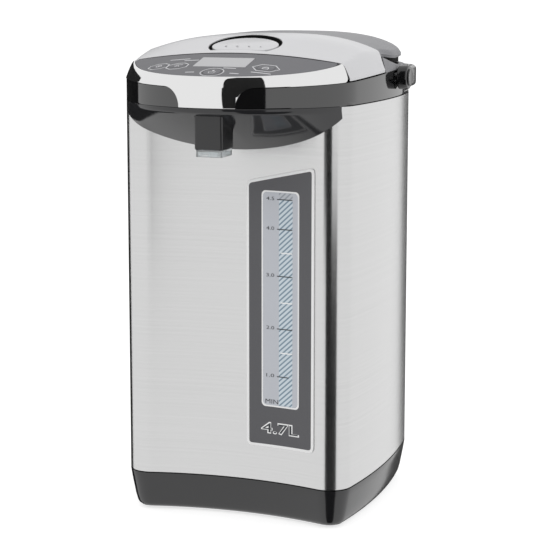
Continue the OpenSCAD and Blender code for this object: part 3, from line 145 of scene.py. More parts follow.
@dataclass
class PotForm:
    """Outlines and heights that the pot's pieces share."""

    width: float = 215.0
    depth: float = 200.0
    corner: float = 20.0
    side_bow: float = 5.7
    rear_bow: float = 4.0
    hollow: float = 11.0
    beak: float = 155.0
    head_rear: float = 100.0
    head_corner: float = 45.0
    head_bow: float = 4.0
    head_turn: float = 70.0
    base_top: float = 35.4
    band_z: float = 359.6
    band_h: float = 16.4
    tilt: float = math.tan(math.radians(2.4))
    slope: float = math.tan(math.radians(14.5))
    display_y: float = -114.5
    display_z: float = 394.8
    bend: Flat = (-50.0, 24.0)
    level_y: float = 50.0
    rear_fall: float = 1.0
    crown_front: float = 9.0
    crown_rear: float = 12.0
    crown_half: float = 93.0
    crown_turn: Flat = (-90.0, 80.0)
    seam: Sizes = (8.0, 8.0, 100.0)
    panel_off: float = 7.3
    panel_in: float = 10.8
    tank_y: float = 6.0
    hinge: Flat = (88.0, 392.0)
    lever_y: float = -65.0
    rim: float = 10.0
    rim_far: float = 60.0
    skin: float = 2.2
    gap: float = 0.3

    def __post_init__(self) -> None:
        """Works out the arcs of the casing's and the head's outlines."""
        pi = math.pi
        cy = self.cy = self.depth / 2 - self.corner
        cx = self.cx = self.width / 2 - self.corner - self.side_bow
        side_r = self.side_r = (cy**2 + self.side_bow**2) / (2 * self.side_bow) + self.corner
        side_x = self.side_x = side_r - self.width / 2
        side_a = math.asin(cy / (side_r - self.corner))
        rear_in = (cx**2 + self.rear_bow**2) / (2 * self.rear_bow)
        rear_c = rear_in - cy - self.rear_bow
        rear_a = math.atan2(cy + rear_c, cx)
        front_in = (cx**2 + self.hollow**2) / (2 * self.hollow)
        front_c = self.front_c = cy - self.hollow + front_in
        self.front_r = front_in - self.corner
        front_a = self.front_a = math.atan2(front_c - cy, cx)
        reach = self.beak - self.corner
        beak_c = self.beak_c = (reach**2 - cx**2 - cy**2) / (2 * (reach - cy))
        beak_r = self.beak_r = self.beak - beak_c
        self.beak_a = math.atan2(cy - beak_c, cx)
        self.panel_r = beak_r - self.panel_in
        # The circle that turns from the beak to the side touches both of their arcs.
        turn = self.head_turn
        near, far, apart = beak_r - turn, side_r - turn, math.hypot(side_x, beak_c)
        along = (near**2 - far**2 + apart**2) / (2 * apart)
        off = math.sqrt(near**2 - along**2)
        tx = self.turn_x = -(side_x * along + beak_c * off) / apart
        ty = self.turn_y = -beak_c + (beak_c * along - side_x * off) / apart
        turn_a = self.turn_a = math.atan2(-beak_c - ty, tx)
        turn_b = self.turn_b = math.atan2(-ty, tx + side_x)
        hy = self.head_rear - self.head_corner - self.head_bow
        hx = math.sqrt((side_r - self.head_corner) ** 2 - hy**2) - side_x
        h_side = math.asin(hy / (side_r - self.head_corner))
        h_in = (hx**2 + self.head_bow**2) / (2 * self.head_bow)
        h_c = h_in - hy - self.head_bow
        h_rear = math.atan2(hy + h_c, hx)
        self.casing_arcs = (
            Arc(-side_x, 0, side_r, -side_a, side_a, 24),
            Arc(cx, cy, self.corner, side_a, rear_a, 14),
            Arc(0, -rear_c, rear_in + self.corner, rear_a, pi - rear_a, 24),
            Arc(-cx, cy, self.corner, pi - rear_a, pi - side_a, 14),
            Arc(side_x, 0, side_r, pi - side_a, pi + side_a, 24),
            Arc(-cx, -cy, self.corner, pi + side_a, 2 * pi - front_a, 16),
            Arc(0, -front_c, self.front_r, pi - front_a, front_a, 44, hollow=True),
            Arc(cx, -cy, self.corner, pi + front_a, 2 * pi - side_a, 16),
        )
        self.rear_arcs = (
            Arc(-side_x, 0, side_r, 0.0, h_side, 14),
            Arc(hx, hy, self.head_corner, h_side, h_rear, 26),
            Arc(0, -h_c, h_in + self.head_corner, h_rear, pi - h_rear, 30),
            Arc(-hx, hy, self.head_corner, pi - h_rear, pi - h_side, 26),
            Arc(side_x, 0, side_r, pi - h_side, pi, 14),
        )
        self.head_arcs = (
            Arc(-side_x, 0, side_r, -turn_b, h_side, 24),
            *self.rear_arcs[1:4],
            Arc(side_x, 0, side_r, pi - h_side, pi + turn_b, 24),
            Arc(-tx, ty, turn, pi + turn_b, pi + turn_a, 10),
            Arc(0, -beak_c, beak_r, pi + turn_a, 2 * pi - turn_a, 80),
            Arc(tx, ty, turn, 2 * pi - turn_a, 2 * pi - turn_b, 10),
        )

    def casing(self, inset: float) -> list[Flat]:
        """The casing's outline, drawn in by inset."""
        return [p for a in self.casing_arcs for p in a.points(inset)]

    def head(self, inset: float) -> list[Flat]:
        """The head's outline with its beak, drawn in by inset."""
        return [p for a in self.head_arcs for p in a.points(inset)]

    def rear_line(self, inset: float, y0: float) -> list[Flat]:
        """The rear part of the head's outline, from one side round to the other.

        Args:
            inset: How far the line is drawn in.
            y0: Depth of both ends.

        Returns:
            Points from the right side round the rear to the left side.
        """
        first, *middle, last = self.rear_arcs
        a = math.asin(y0 / (first.r - inset))
        start = Arc(first.x, 0, first.r, a, first.end, first.steps)
        end = Arc(last.x, 0, last.r, last.start, math.pi - a, last.steps)
        line = [p for arc in (start, *middle, end) for p in arc.points(inset)]
        return line + [(-line[0][0], line[0][1])]

    def head_half(self, y: float) -> float:
        """Half the width of the head.

        Args:
            y: A depth in front of the head's rear corners.

        Returns:
            The distance from the middle to the outline.
        """
        if y < -self.beak_c - self.beak_r * math.sin(self.turn_a):
            return math.sqrt(self.beak_r**2 - (y + self.beak_c) ** 2)
        if y < -self.side_r * math.sin(self.turn_b):
            return self.turn_x + math.sqrt(self.head_turn**2 - (y - self.turn_y) ** 2)
        return math.sqrt(self.side_r**2 - y * y) - self.side_x

    def beak_reach(self, a: float) -> float:
        """Distance from the beak's middle to the head's outline at an angle."""
        short = self.beak_r * max(0.0, self.turn_a - math.acos(abs(math.cos(a))))
        return self.beak_r - 0.5 * short**2 * (1 / self.head_turn - 1 / self.beak_r)

    def split_z(self, y: float) -> float:
        """Height of the band's top edge at a depth."""
        return self.band_z + self.band_h + (y + self.beak) * self.tilt

    def wall_y(self, x: float) -> float:
        """Depth of the casing's hollow front.

        Args:
            x: A distance from the middle.

        Returns:
            The depth of the steel there.
        """
        u = abs(x)
        if u < self.front_r * math.cos(self.front_a):
            return math.sqrt(self.front_r**2 - u * u) - self.front_c
        return -self.cy - math.sqrt(max(0.0, self.corner**2 - (u - self.cx) ** 2))

    def slope_z(self, y: float) -> float:
        """Height of the straight slope of panel and lever along the middle."""
        return self.display_z + (y - self.display_y) * self.slope

    def rearward(self, y: float) -> float:
        """How far the top has gone over from its front form to its rear form at a depth."""
        start, length = self.crown_turn
        return smooth((y - start) / length)

    def crown(self, y: float) -> float:
        """How far the top falls to its sides at a depth."""
        return mix(self.crown_front, self.crown_rear, self.rearward(y))

    def top_z(self, x: float, y: float) -> float:
        """Height of the top: a slope, a bend and a level stretch, with a flatter crown at the rear.

        Args:
            x: Distance from the middle.
            y: Depth.

        Returns:
            The height there.
        """
        start, length = self.bend
        middle = self.slope_z(y)
        if y > start:
            u = min(y - start, length)
            middle = self.slope_z(start) + self.slope * (u - u * u / (2 * length))
            middle -= self.rear_fall * (max(0.0, y - self.level_y) / self.level_y) ** 2
        return middle - self.crown(y) * (abs(x) / self.crown_half) ** (2.0 + self.rearward(y))

    def seam_y(self, x: float) -> float:
        """Depth of the seam across the lid, which bows forward at its ends."""
        mid, bow, half = self.seam
        return mid - bow * (x / half) ** 2

    def rim_distance(self, x: float, y: float) -> float:
        """Distance from a point inside to the head's outline.

        Args:
            x: Distance from the middle.
            y: Depth.

        Returns:
            The distance, at most rim_far.
        """
        best, slack = self.rim_far, 0.02
        for a in self.head_arcs:
            turn = math.atan2(y - a.y, x - a.x)
            while turn < a.start - slack:
                turn += 2 * math.pi
            if turn <= a.end + slack:
                best = min(best, a.r - math.hypot(x - a.x, y - a.y))
        return max(0.0, best)


FORM = PotForm()


def pad(w: float, d: float, r: float, steps: int = 8) -> list[Flat]:
    """The outline of a rounded rectangle about the middle.

    Args:
        w: Width.
        d: Depth.
        r: Corner radius.
        steps: Steps round each corner.

    Returns:
        Points in order round the outline.
    """
    line = []
    for k, (sx, sy) in enumerate(((1, 1), (-1, 1), (-1, -1), (1, -1))):
        for i in range(steps + 1):
            a = QUARTER * (k + i / steps)
            line.append((sx * (w / 2 - r) + r * math.cos(a), sy * (d / 2 - r) + r * math.sin(a)))
    return line


def regular(count: int, w: float, d: float, turn: float = 0.0) -> list[Flat]:
    """A regular polygon stretched to half sizes w and d."""
    angles = [turn + 2 * math.pi * i / count for i in range(count)]
    return [(w * math.cos(a), d * math.sin(a)) for a in angles]


def finer(line: Outline, step: float = math.inf, least: int = 1) -> list[Flat]:
    """A closed outline with extra points.

    Args:
        line: The outline.
        step: The longest that a piece of a side may be.
        least: The fewest pieces of each side.

    Returns:
        The outline with its sides cut up.
    """
    made = []
    for (x0, y0), (x1, y1) in zip(line, [*line[1:], line[0]]):
        n = max(least, math.ceil(math.hypot(x1 - x0, y1 - y0) / step))
        made += [(mix(x0, x1, i / n), mix(y0, y1, i / n)) for i in range(n)]
    return made


def tube(r0: float, r1: float, z0: float, z1: float) -> list[Flat]:
    """The section of a turned tube, or of a rod where its inner radius r0 is nothing."""
    return [(r0, z0), (r1, z0), (r1, z1), (r0, z1), *([(r0, z0)] if r0 else [])]


def drawn_in(line: Outline, t: float) -> list[Flat]:
    """An outline about the middle, made smaller by t on each side."""
    kx, ky = (max(0.02, 1 - t / max(abs(p[c]) for p in line)) for c in (0, 1))
    return [(x * kx, y * ky) for x, y in line]


class Former:
    """A mesh in the making, in millimetres about the pot's own axis."""

    merge: float = 0.0008

    def __init__(self) -> None:
        """Starts with an empty mesh."""
        self.bm = bmesh.new()

    def ring(self, points: Sequence[Point]) -> Row:
        """A closed row of vertices.

        Args:
            points: Where the vertices go, in order.

        Returns:
            The row.
        """
        made = bmesh.ops.create_circle(self.bm, cap_ends=False, radius=1.0, segments=len(points))
        for vert, point in zip(made["verts"], points):
            vert.co = point
        return list(made["verts"])

    def chain(self, points: Sequence[Point]) -> Row:
        """An open row of vertices.

        Args:
            points: Where the vertices go, in order.

        Returns:
            The row.
        """
        row = [self.bm.verts.new(p) for p in points]
        for a, b in zip(row, row[1:]):
            self.bm.edges.new((a, b))
        return row

    def edges(self, row: Row, closed: bool = True) -> list[bmesh.types.BMEdge]:
        """The edges along a row."""
        pairs = zip(row, row[1:] + row[:1]) if closed else zip(row, row[1:])
        return [self.bm.edges.get(pair) for pair in pairs]

    def push(self, row: Row, points: Sequence[Point], closed: bool = True) -> Row:
        """Extrudes a row to new places.

        Args:
            row: The row to extrude.
            points: Where its copy goes.
            closed: Whether the row runs round.

        Returns:
            The new row, in the same order.
        """
        made = bmesh.ops.extrude_edge_only(self.bm, edges=self.edges(row, closed))["geom"]
        fresh = {v for v in made if isinstance(v, bmesh.types.BMVert)}
        after = [next(e.other_vert(v) for e in v.link_edges if e.other_vert(v) in fresh)
                 for v in row]
        for vert, point in zip(after, points):
            vert.co = point
        return after

    def cap(self, row: Row) -> None:
        """Closes a ring with a face."""
        bmesh.ops.edgeloop_fill(self.bm, edges=self.edges(row))

    def loft(self, rows: Sequence[Sequence[Point]], joined: bool = False) -> None:
        """Draws closed rows of points out into one closed skin.

        Args:
            rows: Rows with the same number of points.
            joined: Whether the last row runs back into the first; if not, both ends get a face.
        """
        first = row = self.ring(rows[0])
        for points in rows[1:]:
            row = self.push(row, points)
        if joined:
            self.push(row, rows[0])
        else:
            self.cap(first)
            self.cap(row)

    def grid(self, nx: int, ny: int, place: Callable[[float, float], Point]) -> None:
        """A sheet of faces.

        Args:
            nx: Faces one way.
            ny: Faces the other way.
            place: Gives each vertex its place from its shares, which run from -1 to 1 both ways.
        """
        made = bmesh.ops.create_grid(self.bm, x_segments=nx, y_segments=ny, size=1.0)
        for vert in made["verts"]:
            vert.co = place(vert.co.x, vert.co.y)

    def thicken(self, move: Point) -> None:
        """Gives the sheet so far a thickness.

        Args:
            move: How far a copy of it is drawn.
        """
        made = bmesh.ops.extrude_face_region(self.bm, geom=self.bm.faces[:], use_keep_orig=True)
        fresh = [v for v in made["geom"] if isinstance(v, bmesh.types.BMVert)]
        bmesh.ops.translate(self.bm, vec=move, verts=fresh)

    def spin(self, profile: Outline, matrix: Matrix, steps: int = 96) -> None:
        """A turned shape.

        Args:
            profile: Radius and height along its section.
            matrix: Places the turning axis, which is Z before that.
            steps: Faces round the turn.
        """
        before = set(self.bm.verts)
        row = self.chain([(r, 0.0, z) for r, z in profile])
        bmesh.ops.spin(self.bm, geom=row + self.edges(row, False), cent=(0, 0, 0), axis=(0, 0, 1),
                       angle=2 * math.pi, steps=steps, use_merge=True)
        fresh = [v for v in self.bm.verts if v not in before]
        bmesh.ops.transform(self.bm, matrix=matrix, verts=fresh)

    def prism(self, line: Outline, levels: Outline, matrix: Matrix) -> None:
        """An upright solid on an outline about its middle.

        Args:
            line: The outline.
            levels: Height and share of the outline's size, from one end to the other.
            matrix: Places the solid.
        """
        self.loft([[matrix @ Vector((x * s, y * s, z)) for x, y in line] for z, s in levels])

    def slice(self, step: float) -> None:
        """Cuts every face along upright planes, so that it can follow a curve.

        Args:
            step: Distance between the planes.
        """
        xs = [v.co.x for v in self.bm.verts]
        for i in range(1, math.ceil((max(xs) - min(xs)) / step)):
            whole = self.bm.verts[:] + self.bm.edges[:] + self.bm.faces[:]
            bmesh.ops.bisect_plane(self.bm, geom=whole, dist=1e-5, plane_no=(1, 0, 0),
                                   plane_co=(min(xs) + i * step, 0, 0))

    def bend(self, place: Callable[[Vector], Point]) -> None:
        """Moves every vertex so far to the place a rule gives it."""
        for vert in self.bm.verts:
            vert.co = place(vert.co.copy())

    def tidy(self) -> None:
        """Merges doubled vertices and turns the faces outwards."""
        bmesh.ops.remove_doubles(self.bm, verts=self.bm.verts[:], dist=self.merge)
        bmesh.ops.dissolve_degenerate(self.bm, edges=self.bm.edges[:], dist=self.merge / 2)
        bmesh.ops.recalc_face_normals(self.bm, faces=self.bm.faces[:])

    def plain(self, name: str) -> Piece:
        """The mesh as an object in its place, which rides on nothing yet.

        Args:
            name: Name of the object.

        Returns:
            The object.
        """
        self.tidy()
        bmesh.ops.transform(self.bm, matrix=PLACE, verts=self.bm.verts[:])
        return as_object(name, self.bm)

    def done(self, name: str, body: Body, look: "Finish", nodes: Sequence[str] = (),
             cutters: Sequence["Former"] = (), angle: float = 34.0) -> None:
        """Finishes the piece and puts it on its body.

        Args:
            name: Name of the piece.
            body: The body it rides on.
            look: Its finish.
            nodes: CAD nodes that it stands for.
            cutters: Shapes to take out of it.
            angle: Faces that meet at more than this, in degrees, keep a sharp edge.
        """
        piece = self.plain(name)
        if cutters:
            self.carve(piece, cutters)
        mesh = piece.data
        mesh.materials.append(look.material())
        mesh.polygons.foreach_set("use_smooth", [True] * len(mesh.polygons))
        mesh.set_sharp_from_angle(angle=math.radians(angle))
        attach(piece, body.value)
        if nodes:
            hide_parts(*nodes)
        LOG.info("%s on %s: %d faces", name, body.value, len(mesh.polygons))

    @staticmethod
    def carve(piece: Piece, cutters: Sequence["Former"]) -> None:
        """Takes cutters out of a piece and leaves a plain mesh behind.

        Args:
            piece: The piece to cut.
            cutters: Closed shapes, which are used up.
        """
        tools = [cutter.plain(f"cutter_{i}") for i, cutter in enumerate(cutters)]
        for tool in tools:
            cut = piece.modifiers.new("cut", "BOOLEAN")
            cut.operation, cut.solver, cut.object = "DIFFERENCE", "EXACT", tool
        shaped = piece.evaluated_get(bpy.context.evaluated_depsgraph_get())
        mesh = bpy.data.meshes.new_from_object(shaped)
        piece.modifiers.clear()
        piece.data = mesh
        for tool in tools:
            bpy.data.objects.remove(tool)


def as_object(name: str, made: bmesh.types.BMesh) -> Piece:
    """Turns a finished mesh into an object of the scene.

    Args:
        name: Name of the object and its mesh.
        made: The mesh, which is used up.

    Returns:
        The object.
    """
    mesh = bpy.data.meshes.new(name)
    made.to_mesh(mesh)
    made.free()
    piece = bpy.data.objects.new(name, mesh)
    bpy.context.scene.collection.objects.link(piece)
    return piece


def figures(text: str, size: Flat, spread: float) -> Former:
    """Plain figures about the middle in the XZ plane, as flat faces.

    Args:
        text: The figures.
        size: Width and height of the whole.
        spread: How far their outline is grown, as a share of their height.

    Returns:
        The flat mesh.
    """
    curve = bpy.data.curves.new("figures", "FONT")
    curve.body, curve.offset, curve.resolution_u = text, spread, 3
    holder = bpy.data.objects.new("figures", curve)
    mesh = bpy.data.meshes.new_from_object(holder)
    made = Former()
    made.bm.from_mesh(mesh)
    bpy.data.objects.remove(holder)
    bpy.data.meshes.remove(mesh)
    xs, ys = ([v.co[k] for v in made.bm.verts] for k in (0, 1))
    w, h = max(xs) - min(xs), max(ys) - min(ys)
    made.bend(lambda v: ((v.x - min(xs) - w / 2) / w * size[0], 0.0,
                         (v.y - min(ys) - h / 2) / h * size[1]))
    return made


def fill(node: Node, values: dict[str, object]) -> Node:
    """Sets input values of a node by their names.

    Args:
        node: The node.
        values: A value for each name.

    Returns:
        The same node.
    """
    for key, value in values.items():
        node.inputs[key].default_value = value
    return node


def add(tree: Tree, kind: str, values: dict[str, object] | None = None,
        **settings: str) -> Node:
    """Adds a node to a tree.

    Args:
        tree: The tree.
        kind: Type of the node, without the words that every type starts with.
        values: Input values by name.
        settings: Settings of the node, which are made before its values.

    Returns:
        The new node.
    """
    node = tree.nodes.new(f"ShaderNode{kind}")
    for key, value in settings.items():
        setattr(node, key, value)
    return fill(node, values or {})


def wire(tree: Tree,
         *links: tuple[Socket, Socket]) -> None:
    """Links pairs of sockets, each from an output to an input."""
    for source, target in links:
        tree.links.new(source, target)


def shader_of(look: bpy.types.Material) -> Node:
    """The main shader of a new material."""
    look.use_nodes = True
    return next(n for n in look.node_tree.nodes if n.type == "BSDF_PRINCIPLED")


class Effect(Enum):
    """Shared surface effects, each one node group."""

    GRAIN = "mould_grain"
    BRUSHING = "brush_lines"
    MARKS = "handling_marks"


class Effects:
    """Builds each shared effect once, as a node group with values that change over the surface."""

    made: dict[Effect, Tree] = {}

    @classmethod
    def group(cls, effect: Effect) -> Tree:
        """The node group of an effect, built on first use.

        Args:
            effect: The effect.

        Returns:
            Its node group.
        """
        if effect not in cls.made:
            build = {Effect.GRAIN: cls.grain, Effect.BRUSHING: cls.brushing,
                     Effect.MARKS: cls.marks}
            cls.made[effect] = build[effect]()
        return cls.made[effect]

    @staticmethod
    def start(effect: Effect, inputs: dict[str, float],
              outputs: Sequence[str]) -> tuple[Tree, Node, Node]:
        """An empty group with its sockets.

        Args:
            effect: The effect that the group is for.
            inputs: Names and first values of its numbers.
            outputs: Names of what it puts out.

        Returns:
            The tree, its input node and its output node.
        """
        tree = bpy.data.node_groups.new(effect.value, "ShaderNodeTree")
        socket = tree.interface.new_socket
        socket("Vector", in_out="INPUT", socket_type="NodeSocketVector")
        for key, value in inputs.items():
            socket(key, in_out="INPUT", socket_type="NodeSocketFloat").default_value = value
        for key in outputs:
            socket(key, in_out="OUTPUT", socket_type="NodeSocketFloat")
        return tree, tree.nodes.new("NodeGroupInput"), tree.nodes.new("NodeGroupOutput")

    @classmethod
    def grain(cls) -> Tree:
        """Fine moulded grain with a slow drift of tone.

        Returns:
            The node group.
        """
        tree, given, out = cls.start(Effect.GRAIN, {"Scale": 1200.0, "Drift": 9.0},
                                     ("Shade", "Height"))
        fine, slow = (add(tree, "TexNoise", {"Detail": detail}) for detail in (3.0, 2.0))
        for node, key in ((fine, "Scale"), (slow, "Drift")):
            wire(tree, (given.outputs["Vector"], node.inputs["Vector"]),
                 (given.outputs[key], node.inputs["Scale"]))
        blend = add(tree, "Mix", {"Factor": 0.6})
        wire(tree, (fine.outputs["Fac"], blend.inputs["A"]),
             (slow.outputs["Fac"], blend.inputs["B"]),
             (blend.outputs["Result"], out.inputs["Shade"]),
             (fine.outputs["Fac"], out.inputs["Height"]))
        return tree

    @classmethod
    def brushing(cls) -> Tree:
        """Level brush lines of two lengths.

        Returns:
            The node group.
        """
        tree, given, out = cls.start(Effect.BRUSHING, {"Along": 5.0, "Across": 1500.0},
                                     ("Shade", "Height"))
        joined, blend = add(tree, "CombineXYZ"), add(tree, "Mix", {"Factor": 0.4})
        stretch = add(tree, "VectorMath", operation="MULTIPLY")
        for socket, key in zip(joined.inputs, ("Along", "Along", "Across")):
            wire(tree, (given.outputs[key], socket))
        wire(tree, (given.outputs["Vector"], stretch.inputs[0]),
             (joined.outputs["Vector"], stretch.inputs[1]))
        for scale, key in ((1.0, "A"), (0.31, "B")):
            noise = add(tree, "TexNoise", {"Scale": scale, "Detail": 2.0})
            wire(tree, (stretch.outputs["Vector"], noise.inputs["Vector"]),
                 (noise.outputs["Fac"], blend.inputs[key]))
        wire(tree, *((blend.outputs["Result"], out.inputs[key]) for key in ("Shade", "Height")))
        return tree

    @classmethod
    def marks(cls) -> Tree:
        """Faint wiped patches that change the gloss.

        Returns:
            The node group.
        """
        tree, given, out = cls.start(Effect.MARKS, {"Scale": 16.0}, ("Mask",))
        noise = add(tree, "TexNoise", {"Detail": 5.0, "Distortion": 0.6})
        ramp = add(tree, "MapRange", {"From Min": 0.35, "From Max": 0.75})
        wire(tree, *((given.outputs[key], noise.inputs[key]) for key in ("Vector", "Scale")))
        wire(tree, (noise.outputs["Fac"], ramp.inputs["Value"]),
             (ramp.outputs["Result"], out.inputs["Mask"]))
        return tree


BUMP_STRENGTH = 0.35
STREAK_TURN = 0.25
HATCH_TURN = math.radians(-48)
HATCH_SCALE = 98.0
HATCH_EDGE = {"From Min": 0.55, "From Max": 0.8}


@dataclass(frozen=True)
class Finish:
    """A finish: a colour with its own grain, gloss and wear, as a procedural material."""

    name: str
    slot: str
    colour: str
    rough: float
    tone: float = 0.05
    metallic: float = 0.0
    ior: float = 1.5
    grain: float = 1200.0
    bump: float = 0.00002
    wipe: float = 0.05
    brushed: bool = False
    along: float = 5.0
    streak: float = 0.0
    transmission: float = 0.0
    hatch: str = ""

    def material(self) -> bpy.types.Material:
        """The material of this finish, built on first use."""
        return bpy.data.materials.get(f"finish_{self.name}") or self.build()

    def build(self) -> bpy.types.Material:
        """Builds the node tree of this finish.

        Returns:
            The new material.
        """
        look = bpy.data.materials.new(f"finish_{self.name}")
        shader, tree = shader_of(look), look.node_tree
        fill(shader, {"Metallic": self.metallic, "IOR": self.ior,
                      "Transmission Weight": self.transmission})
        if self.streak:
            fill(shader, {"Anisotropic": self.streak, "Anisotropic Rotation": STREAK_TURN})
            round_z = add(tree, "Tangent", direction_type="RADIAL", axis="Z")
            wire(tree, (round_z.outputs["Tangent"], shader.inputs["Tangent"]))
        where = add(tree, "TexCoord").outputs["Object"]
        surface = self.effect(tree, Effect.BRUSHING if self.brushed else Effect.GRAIN, where)
        fill(surface, {"Along": self.along, "Across": self.grain} if self.brushed
             else {"Scale": self.grain})
        marks = self.effect(tree, Effect.MARKS, where)
        low, high = ((*(min(1.0, c * s) for c in tint(self.colour)), 1)
                     for s in (1 - self.tone, 1 + self.tone))
        shade = add(tree, "Mix", {"A": low, "B": high}, data_type="RGBA")
        colour = shade.outputs["Result"]
        if self.hatch:
            colour = self.hatched(tree, where, colour)
        gloss = add(tree, "MapRange", {"To Min": self.rough * (1 - self.wipe),
                                       "To Max": self.rough * (1 + self.wipe)})
        bump = add(tree, "Bump", {"Strength": BUMP_STRENGTH, "Distance": self.bump})
        wire(tree, (surface.outputs["Shade"], shade.inputs["Factor"]),
             (colour, shader.inputs["Base Color"]),
             (marks.outputs["Mask"], gloss.inputs["Value"]),
             (gloss.outputs["Result"], shader.inputs["Roughness"]),
             (surface.outputs["Height"], bump.inputs["Height"]),
             (bump.outputs["Normal"], shader.inputs["Normal"]))
        return look

    def hatched(self, tree: Tree, where: Socket,
                ground: Socket) -> Socket:
        """Slanting lines of the hatch colour over a ground colour.

        Args:
            tree: The material's tree.
            where: Places on the surface.
            ground: The ground colour.

        Returns:
            The colour with its lines.
        """
        turn = add(tree, "Mapping", {"Rotation": (0.0, HATCH_TURN, 0.0)})
        wave = add(tree, "TexWave", {"Scale": HATCH_SCALE, "Distortion": 0.0}, bands_direction="X")
        edge = add(tree, "MapRange", HATCH_EDGE)
        over = add(tree, "Mix", {"B": (*tint(self.hatch), 1)}, data_type="RGBA")
        wire(tree, (where, turn.inputs["Vector"]), (turn.outputs["Vector"], wave.inputs["Vector"]),
             (wave.outputs["Fac"], edge.inputs["Value"]),
             (edge.outputs["Result"], over.inputs["Factor"]), (ground, over.inputs["A"]))
        return over.outputs["Result"]

    @staticmethod
    def effect(tree: Tree, effect: Effect,
               where: Socket) -> Node:
        """Places a shared effect in a material.

        Args:
            tree: The material's tree.
            effect: The effect.
            where: Places on the surface.

        Returns:
            The effect's node.
        """
        node = add(tree, "Group")
        node.node_tree = Effects.group(effect)
        wire(tree, (where, node.inputs["Vector"]))
        return node


CASING_STEEL = Finish("casing_steel", "brushed_steel", "d2d2d2", 0.24, tone=0.07, metallic=1.0,
                      grain=1700, bump=0.000012, brushed=True, streak=0.75)
TANK_STEEL = Finish("tank_steel", "steel", "cfd0d2", 0.34, metallic=0.8, grain=900, brushed=True)
BRIGHT_STEEL = Finish("bright_steel", "steel", "c9cacc", 0.22, metallic=1.0, grain=2500)
BASE_GLOSS = Finish("base_gloss", "dark_gloss", "18181a", 0.16, ior=1.66, grain=1500, bump=0.00001)
CHIN_GLOSS = Finish("chin_gloss", "dark_gloss", "232325", 0.1, ior=1.58, grain=1500, bump=0.000006)
SPOUT_SATIN = Finish("spout_satin", "dark_gloss", "2a2a2b", 0.2, grain=1500, bump=0.00001)
BAND_GLOSS = Finish("band_gloss", "black_gloss", "0d0d0e", 0.06, ior=1.9, grain=1500, bump=0.000004)
HANDLE_GLOSS = Finish("handle_gloss", "black_gloss", "101011", 0.14, ior=1.6, grain=1400,
                      bump=0.00001)
DARK_MATTE = Finish("dark_matte", "dark_matte", "262628", 0.5, tone=0.1, grain=1600, bump=0.00004)
CHROME = Finish("chrome", "chrome", "e4e4e4", 0.045, tone=0.015, metallic=1.0, grain=400, bump=0.0,
                wipe=0.2)
GAUGE_GREY = Finish("gauge_grey", "gauge_grey", "5c5c5f", 0.42, tone=0.06, ior=1.4, grain=2600,
                    bump=0.00001)
GAUGE_GLASS = Finish("gauge_glass", "gauge_glass", "c2c5cc", 0.16, grain=60, bump=0.0)
COLUMN = Finish("gauge_column", "gauge_glass", "d0dbe3", 0.2, tone=0.04, grain=60, bump=0.0,
                hatch="7d93a3")
COLUMN_DRY = Finish("gauge_column_dry", "gauge_glass", "c0c4ca", 0.2, tone=0.04, grain=60, bump=0.0,
                    hatch="9aa0a8")
CLEAR = Finish("clear_plastic", "clear", "f2f6f7", 0.12, tone=0.01, transmission=0.85, ior=1.45,
               grain=500)
PANEL_GREY = Finish("panel_grey", "panel_grey", "707073", 0.45, tone=0.06, ior=1.12, grain=2400,
                    bump=0.000012)
KEY_GREY = Finish("key_grey", "panel_grey", "727275", 0.45, tone=0.06, ior=1.12, grain=2400,
                  bump=0.000012)
DISPLAY = Finish("display_pane", "display", "b0b0b2", 0.3, tone=0.04, ior=1.25, grain=2200,
                 bump=0.0)
PRINT_LIGHT = Finish("light_print", "panel_grey", "d0d0d2", 0.5, tone=0.06, ior=1.25, grain=3000)
PRINT_WHITE = Finish("white_print", "gauge_grey", "f4f4f4", 0.45, tone=0.03, grain=3000)
PRINT_DARK = Finish("dark_print", "gauge_grey", "2c2f34", 0.45, tone=0.1, grain=3000)
LID_SILVER = Finish("lid_silver", "lid_silver", "cdcdcf", 0.34, metallic=0.55, grain=3200,
                    bump=0.000012)
COVER_GREY = Finish("cover_grey", "cover_grey", "7e7e81", 0.4, tone=0.06, ior=1.25, grain=2200,
                    bump=0.000014)
SKIRT_DARK = Finish("skirt_dark", "dark_matte", "0c0c0d", 0.7, ior=1.2, grain=1600)
# Near-black: the tray's own dark plastic, and painted shade where its lining covers the lid's
# silver hole wall.
FINGER_HOLE_SHADE = Finish("finger_hole_shade", "dark_matte", "0c0c0d", 0.6, ior=1.3, grain=1600, bump=0.00003)
RUBBER = Finish("foot_rubber", "rubber", "1d1d1e", 0.75, tone=0.15, grain=900, bump=0.00008)
SILICONE = Finish("seal_silicone", "silicone", "dedad0", 0.5, grain=900, bump=0.00003)
WRAP = Finish("insulation_felt", "insulation", "e3dfd2", 0.9, tone=0.12, grain=700, bump=0.0004)
CAST = Finish("cast_metal", "cast_metal", "97989b", 0.5, tone=0.12, metallic=0.8, grain=900,
              bump=0.00012)
PALE = Finish("pale_plastic", "pale_plastic", "d8d4ca", 0.45, grain=1300, bump=0.00003)
CIRCUIT = Finish("circuit_board", "circuit", "2f6b4a", 0.42, tone=0.2, grain=260, bump=0.00003)
ROTOR = Finish("rotor_blue", "rotor_blue", "3b4a63", 0.4, tone=0.06)
HOSE = Finish("hose_silicone", "silicone", "d3d7d8", 0.35, grain=700)


